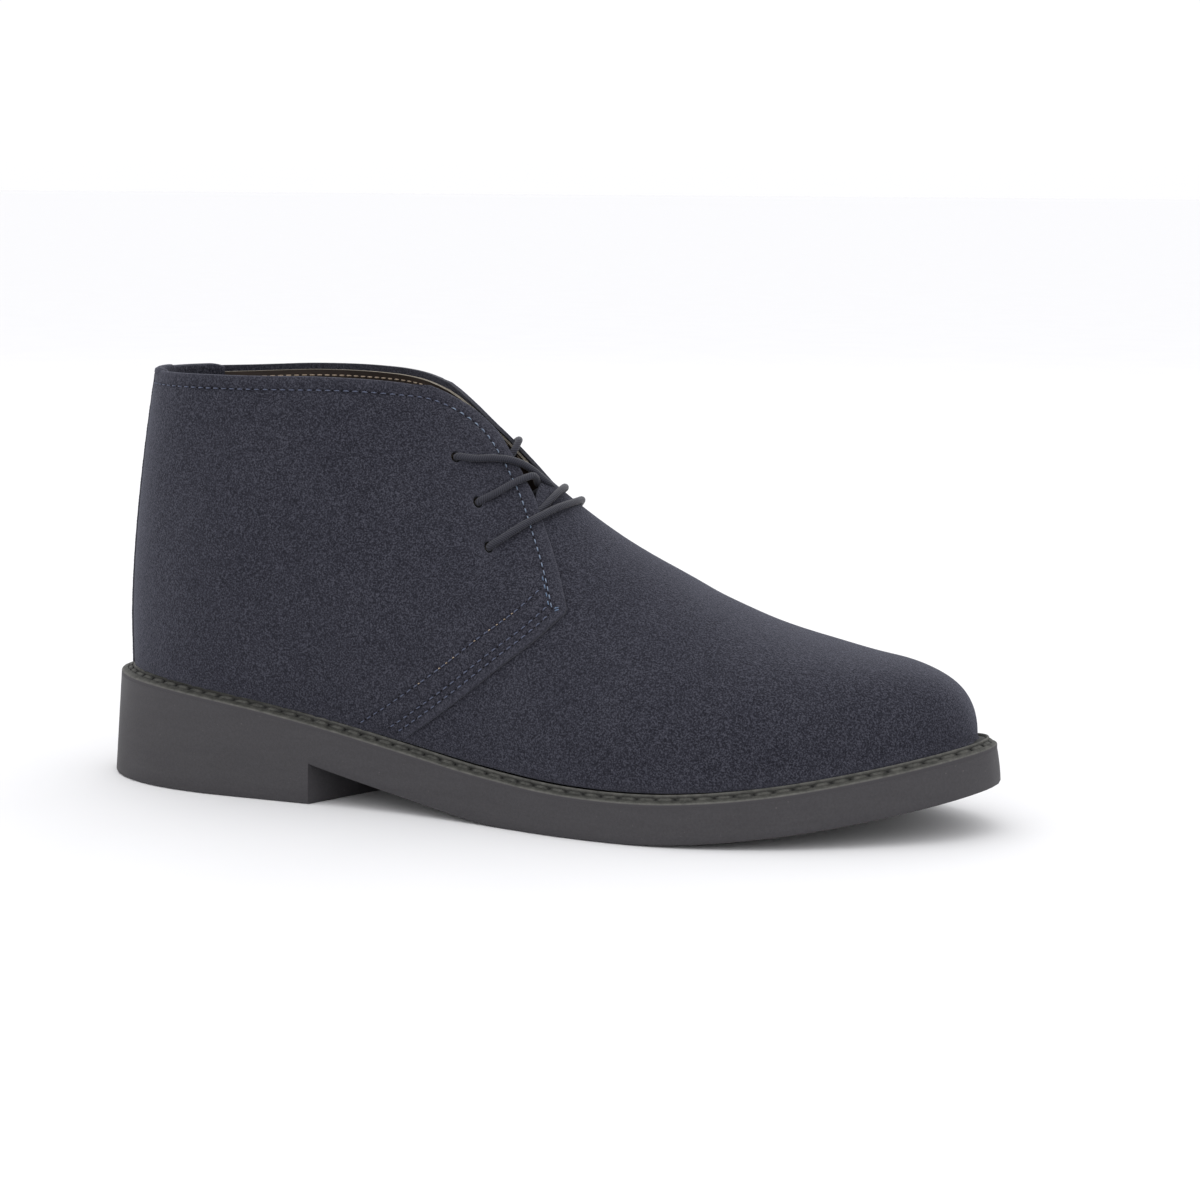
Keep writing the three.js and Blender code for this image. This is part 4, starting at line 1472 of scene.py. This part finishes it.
def sole_places(start, end, heel=26, middle=56, toe=34):
    """Places along the full outline, closer together round the heel and the toe."""
    turn = np.linspace(0, math.pi / 2, heel + 1)[:-1]
    tip = np.linspace(0, math.pi / 2, toe + 1)[1:]
    places = np.concatenate([
        HEEL_ROUND * (1 - np.cos(turn)),
        np.linspace(HEEL_ROUND, SOLE_LENGTH - TOE_ROUND, middle + 1),
        SOLE_LENGTH - TOE_ROUND + TOE_ROUND * np.sin(tip),
    ])
    places = places[(places > start + 0.5) & (places < end - 0.5)]
    return np.concatenate([[start], places, [end]])


def strip(places, profile, side):
    """Faces over a grid of places and profile points; profile gives (height, inset) arrays."""
    layers = [
        sole_point(places, side, np.broadcast_to(height, len(places)), inset)
        for height, inset in profile]
    faces = grid_faces(len(layers), len(places))
    return np.vstack(layers), [face[::-side] for face in faces]


EDGE_BEVEL = 0.6
BEVEL_SIDE = 0.18
TOE_TUCK = 1.3
TUCK_START = 228.0
TUCK_END = 290.0
TUCK_DEPTH = 4.0
TREAD_DEPTH = 0.9
TREAD_FIELDS = ((7.0, 81.0), (132.0, 291.0))
TREAD_RIM = 6.0
MIDDLE_INSET = 30.0
FIELD_INSETS = (MIDDLE_INSET, 18.0, TREAD_RIM + 0.7)
HEEL_LEVELS = (5.0, 9.0, ARCH_HEIGHT)
BED_GAP = 0.1
BED_INSET = WELT_WIDTH + 1.0
WALL_SHARES = (0, 0.2, 0.4, 0.6, 0.8, 1)


def tucked(places, inset=0.0):
    """Inset of the sole's top, whose edge draws in a little round the toe."""
    share = np.clip(1 - inset / TUCK_DEPTH, 0, 1)
    return inset + TOE_TUCK * share * smooth_step(TUCK_START, TUCK_END, places)


def tread_depth(places):
    """Depth of the recess that the tread's bars stand in."""
    depth = np.zeros(len(places))
    for start, end in TREAD_FIELDS:
        depth += TREAD_DEPTH * np.clip(places - start, 0, 1) * np.clip(end - places, 0, 1)
    return depth


def under_profile(places, base):
    """Bottom from the middle out to the start of the wall, with a shallow field for the tread."""
    recess = base + tread_depth(places)
    return [
        *((recess, inset) for inset in FIELD_INSETS), (base, TREAD_RIM), (base, EDGE_BEVEL),
        (base + BEVEL_SIDE, BEVEL_SIDE), (base + EDGE_BEVEL, 0.0),
    ]


def middle_line(places):
    """The sole's middle, at the places that its innermost inset reaches."""
    reached = MIDDLE_INSET + places / SOLE_LENGTH * (SOLE_LENGTH - 2 * MIDDLE_INSET)
    return sole["middle"](reached) - MIDDLE_Y


def make_outsole():
    """Heel and sole moulded in one: eased lower edge, toe wall drawn in upwards, recessed tread."""
    split = ARCH_HEIGHT + EDGE_BEVEL
    heel = sole_places(0, BREAST_ALONG)
    front = sole_places(BREAST_ALONG, SOLE_LENGTH)
    whole = np.concatenate([heel[:-1], front])
    foot = np.where(whole < BREAST_ALONG, split, sole_bottom(whole) + EDGE_BEVEL)
    top = sole["top"](whole) - WELT_THICK - BED_GAP
    bed = sole["top"](whole) - BED_GAP
    wall = [
        *((foot + (top - foot) * share, tucked(whole) * share ** 1.5) for share in WALL_SHARES),
        (top, BED_INSET), (bed, BED_INSET), (bed, MIDDLE_INSET),
    ]
    heel_rows = under_profile(heel, np.zeros(len(heel)))
    heel_rows += [(np.full(len(heel), z), 0.0) for z in (*HEEL_LEVELS, split)]
    parts = []
    for side in (OUTER, INNER):
        parts.append(strip(whole, wall, side))
        parts.append(strip(heel, heel_rows, side))
        parts.append(strip(front, under_profile(front, sole_bottom(front)), side))
        parts.append(breast(side, split))
        parts += middle_fill(side, heel, front, whole, bed)
    vertices, faces = joined(parts)
    (vertices, _), faces, _ = welded(vertices, faces)
    piece = make_object(
        "outsole_body", *joined([(vertices, faces), *tread_lugs()]), [rubber], 35)
    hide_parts("outsole")


def middle_fill(side, heel, front, whole, bed):
    """Strips from the innermost inset to the middle line, under and on top of the sole."""
    sets = (
        (heel, tread_depth(heel), 1),
        (front, sole_bottom(front) + tread_depth(front), 1),
        (whole, bed, -1),
    )
    parts = []
    for places, height, turn in sets:
        edge = sole_point(places, side, height, MIDDLE_INSET)
        middle = edge.copy()
        middle[:, 1] = middle_line(places)
        faces = grid_faces(2, len(places))
        parts.append((np.vstack([middle, edge]), [face[::side * -turn] for face in faces]))
    return parts


def breast(side, split):
    """The heel's front face."""
    def corner(height, inset):
        return sole_point(BREAST_ALONG, side, height, inset)

    insets = (*FIELD_INSETS, TREAD_RIM, EDGE_BEVEL)
    middle = corner(0.0, MIDDLE_INSET)
    middle[1] = middle_line(BREAST_ALONG)
    low = [
        middle, *(corner(0.0, inset) for inset in insets),
        corner(BEVEL_SIDE, BEVEL_SIDE), corner(EDGE_BEVEL, 0.0),
    ]
    high = [
        middle + (0, 0, ARCH_HEIGHT), *(corner(ARCH_HEIGHT, inset) for inset in insets),
        corner(ARCH_HEIGHT + BEVEL_SIDE, BEVEL_SIDE), corner(split, 0.0),
    ]
    points = np.array([*low, *high, *(corner(z, 0.0) for z in HEEL_LEVELS)])
    count = len(low)
    last = count - 1
    wall = (2 * count, 2 * count + 1, 2 * count + 2)
    faces = [(k, k + 1, count + k + 1, count + k) for k in range(count - 2)]
    faces.append((last - 1, last, *wall, count + last, count + last - 1))
    return points, [face[::-side] for face in faces]


LUG_PITCH = (7.4, 6.2)
LUG_SIZE = (5.4, 2.3)
LUG_TURN = 32
LUG_MARGIN = 4.5


def tread_lugs():
    """Herringbone bars that fill the tread's fields back to the level of the ground."""
    parts = []
    for start, end in TREAD_FIELDS:
        for along in np.arange(start + 6, end - 5, LUG_PITCH[0]):
            for k, across in enumerate(np.arange(-48, 49, LUG_PITCH[1])):
                side = OUTER if across < sole["middle"](along) else INNER
                edge = sole_point(along, side, 0.0, 0.0)
                if side * (edge[1] + MIDDLE_Y - across) < TREAD_RIM + LUG_MARGIN:
                    continue
                turn = math.radians(LUG_TURN if k % 2 else -LUG_TURN)
                parts.append(lug(along - MIDDLE_X, across - MIDDLE_Y, turn))
    return parts


def lug(x, y, turn):
    """One bar, a little wider where it is rooted."""
    points = []
    for grow, level in ((1.0, 0.02), (1.12, TREAD_DEPTH + 0.3)):
        for a, b in ((-1, -1), (1, -1), (1, 1), (-1, 1)):
            dx = a * (LUG_SIZE[0] / 2) * grow
            dy = b * (LUG_SIZE[1] / 2) * grow
            px = x + dx * math.cos(turn) - dy * math.sin(turn)
            py = y + dx * math.sin(turn) + dy * math.cos(turn)
            base = 0.0 if px + MIDDLE_X < BREAST_ALONG else float(sole_bottom(px + MIDDLE_X))
            points.append((px, py, base + level))
    faces = [(0, 3, 2, 1), (4, 5, 6, 7), (0, 1, 5, 4), (1, 2, 6, 5), (2, 3, 7, 6), (3, 0, 4, 7)]
    return np.array(points), faces


# Across the welt from its outer edge: inset, height below the sole's top line, and three marks:
# paleness of a ridge, painted shade in a groove and in the gap under the upper, and the plain wall
# below the welt's own strip
WELT_PROFILE = (
    (0.0, -3.28, 0, 0, 1), (0.0, -2.3, 0, 0, 1), (0.12, -2.0, 0.9, 0, 0.6), (0.4, -1.8, 0.7, 0, 0),
    (0.8, -1.68, 0.2, 0, 0), (1.75, -1.35, 0, 0, 0), (1.95, -1.32, 0, 0.5, 0),
    (2.05, -1.6, 0, 1, 0), (3.4, -1.25, 0, 1, 0), (3.5, -0.75, 0, 0.5, 0), (3.65, -0.15, 0.5, 0, 0),
    (3.95, 0.08, 0.9, 0, 0), (4.25, 0.06, 0.5, 0, 0), (4.5, -0.2, 0, 0.6, 0),
    (4.8, -0.75, 0, 1, 0), (11.0, -0.75, 0, 1, 0), (11.0, -3.28, 0, 0, 0),
)
WELT_MARKS = ("ridge", "groove", "wall")
BAR_PITCH = 5.9
BAR_LENGTH = 5.35
BAR_INSET = 2.72
BAR_HALF = 0.66
BAR_SECTION = ((-1.0, -0.6), (-0.95, 0.0), (-0.55, 0.2), (0.55, 0.26), (0.95, 0.1), (1.0, -0.6))
BAR_ENDS = (
    (0, -0.3, 0.85), (0.25, 0, 1), (0.35, 0, 1), (0.65, 0, 1), (0.75, 0, 1), (1, -0.3, 0.85),
)
BAR_DROP = 1.12
BAR_TILT = 0.36
OUTLINE_POINTS = 900


def make_welt():
    """Strip round the sole: outer lip, groove with moulded stitches, inner lip at the upper."""
    places = sole_places(0, SOLE_LENGTH, 40, 90, 50)
    rows = [*WELT_PROFILE, WELT_PROFILE[0]]
    profile = [(sole["top"](places) + row[1], tucked(places, row[0])) for row in rows]
    vertices, faces = joined([strip(places, profile, side) for side in (OUTER, INNER)])
    (vertices, origin), faces, _ = welded(vertices, faces)
    row_marks = np.repeat([row[2:] for row in rows], len(places), axis=0)
    bars, marks = welt_bars()
    piece = make_object("welt_strip", *joined([(vertices, faces), *bars]), [welting], 60)
    marks = np.vstack([np.tile(row_marks, (2, 1))[origin], *marks])
    for i, mark in enumerate(WELT_MARKS):
        point_attribute(piece, mark, marks[:, i])
    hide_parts("welt")


def welt_bars():
    """Moulded stitches lying in the groove, all round, with the marks of their points."""
    turn = np.linspace(0, math.pi, OUTLINE_POINTS)
    turn = np.concatenate([turn, turn[::-1]])
    places = SOLE_LENGTH * (1 - np.cos(turn)) / 2
    side = np.repeat([OUTER, INNER], len(turn) // 2)
    height = sole["top"](places) - BAR_DROP
    line = sole_point(places, side, height, tucked(places, BAR_INSET))
    inner_line = sole_point(places, side, height, tucked(places, BAR_INSET + 0.3))
    run = run_of(line)
    count = int(round(run[-1] / BAR_PITCH))
    share, rise, narrow = np.array(BAR_ENDS).T
    mark = np.zeros((len(BAR_ENDS), len(BAR_SECTION), len(WELT_MARKS)))
    mark[1:-1, 2:4, 0] = 0.3
    # Painted shade at the bars' low sides and at their ends, where they meet the groove
    mark[:, (0, -1), 1] = 0.9
    mark[(0, -1), :, 1] = 1
    bars = []
    for i in range(count):
        at = i * run[-1] / count + share * BAR_LENGTH
        centre = at_run(at, run, line)
        inward = unit((at_run(at, run, inner_line) - centre) * (1, 1, 0))
        rings = []
        for across, lift in BAR_SECTION:
            points = centre + inward * (across * BAR_HALF * narrow)[:, None]
            points[:, 2] += lift + rise * (lift > -0.5) + BAR_TILT * across * BAR_HALF
            rings.append(points)
        points = np.array(rings).transpose(1, 0, 2).reshape(-1, 3)
        bars.append((points, bar_faces(len(BAR_ENDS), len(BAR_SECTION))))
    return bars, [mark.reshape(-1, len(WELT_MARKS))] * count


# Half of the sock's section: share of the way to the wall, and rise as a share of its thickness
SOCK_SECTION = ((1.0, 0.0), (1.0, 0.8), (0.985, 1.0), (0.9, 0.93), (0.5, 0.78))
SOCK_MIDDLE = 0.72


def make_insole():
    """Leather sock on the sole's bed, slightly dished."""
    start = UPPER_START + INSOLE_INSET
    end = UPPER_END - INSOLE_INSET
    turn = np.linspace(0, math.pi / 2, 19)
    places = np.concatenate([
        start + LAST_HEEL_ROUND * (1 - np.cos(turn)),
        np.linspace(start + LAST_HEEL_ROUND, end - LAST_TOE_ROUND, 31)[1:-1],
        end - LAST_TOE_ROUND * (1 - np.sin(turn)),
    ])
    foot = np.zeros(len(places))
    wall = {side: skin(places, foot, side, INSOLE_INSET) for side in (OUTER, INNER)}
    middle = (wall[OUTER] + wall[INNER]) / 2
    across = [(0.0, 0.0, OUTER), *((*point, OUTER) for point in SOCK_SECTION)]
    across += [(0.0, SOCK_MIDDLE, OUTER), *((*point, INNER) for point in SOCK_SECTION[::-1])]
    layers = []
    for reach, rise, side in across:
        points = middle + (wall[side] - middle) * reach
        points[:, 2] += rise * INSOLE_THICK
        layers.append(points)
    faces = grid_faces(len(layers), len(places), wrap_rows=True)
    (vertices, _), faces, _ = welded(
        np.vstack(layers), [face[:1] + face[:0:-1] for face in faces])
    piece = make_object("insole_sock", vertices, faces, [lining], 50)
    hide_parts("insole")


# ---------------------------------------------------------------- pieces

make_outsole()
make_welt()
make_insole()
make_vamp()
lining_rows = {}
for side, word in ((OUTER, "outer"), (INNER, "inner")):
    make_quarter(side, "quarter_" + word)
    lining_rows[side] = make_lining(side, "lining_" + word)
    make_stitches(side, "stitches_" + word)
make_collar_seam(lining_rows)
make_back_strip()
make_heel_tab()
make_lace()
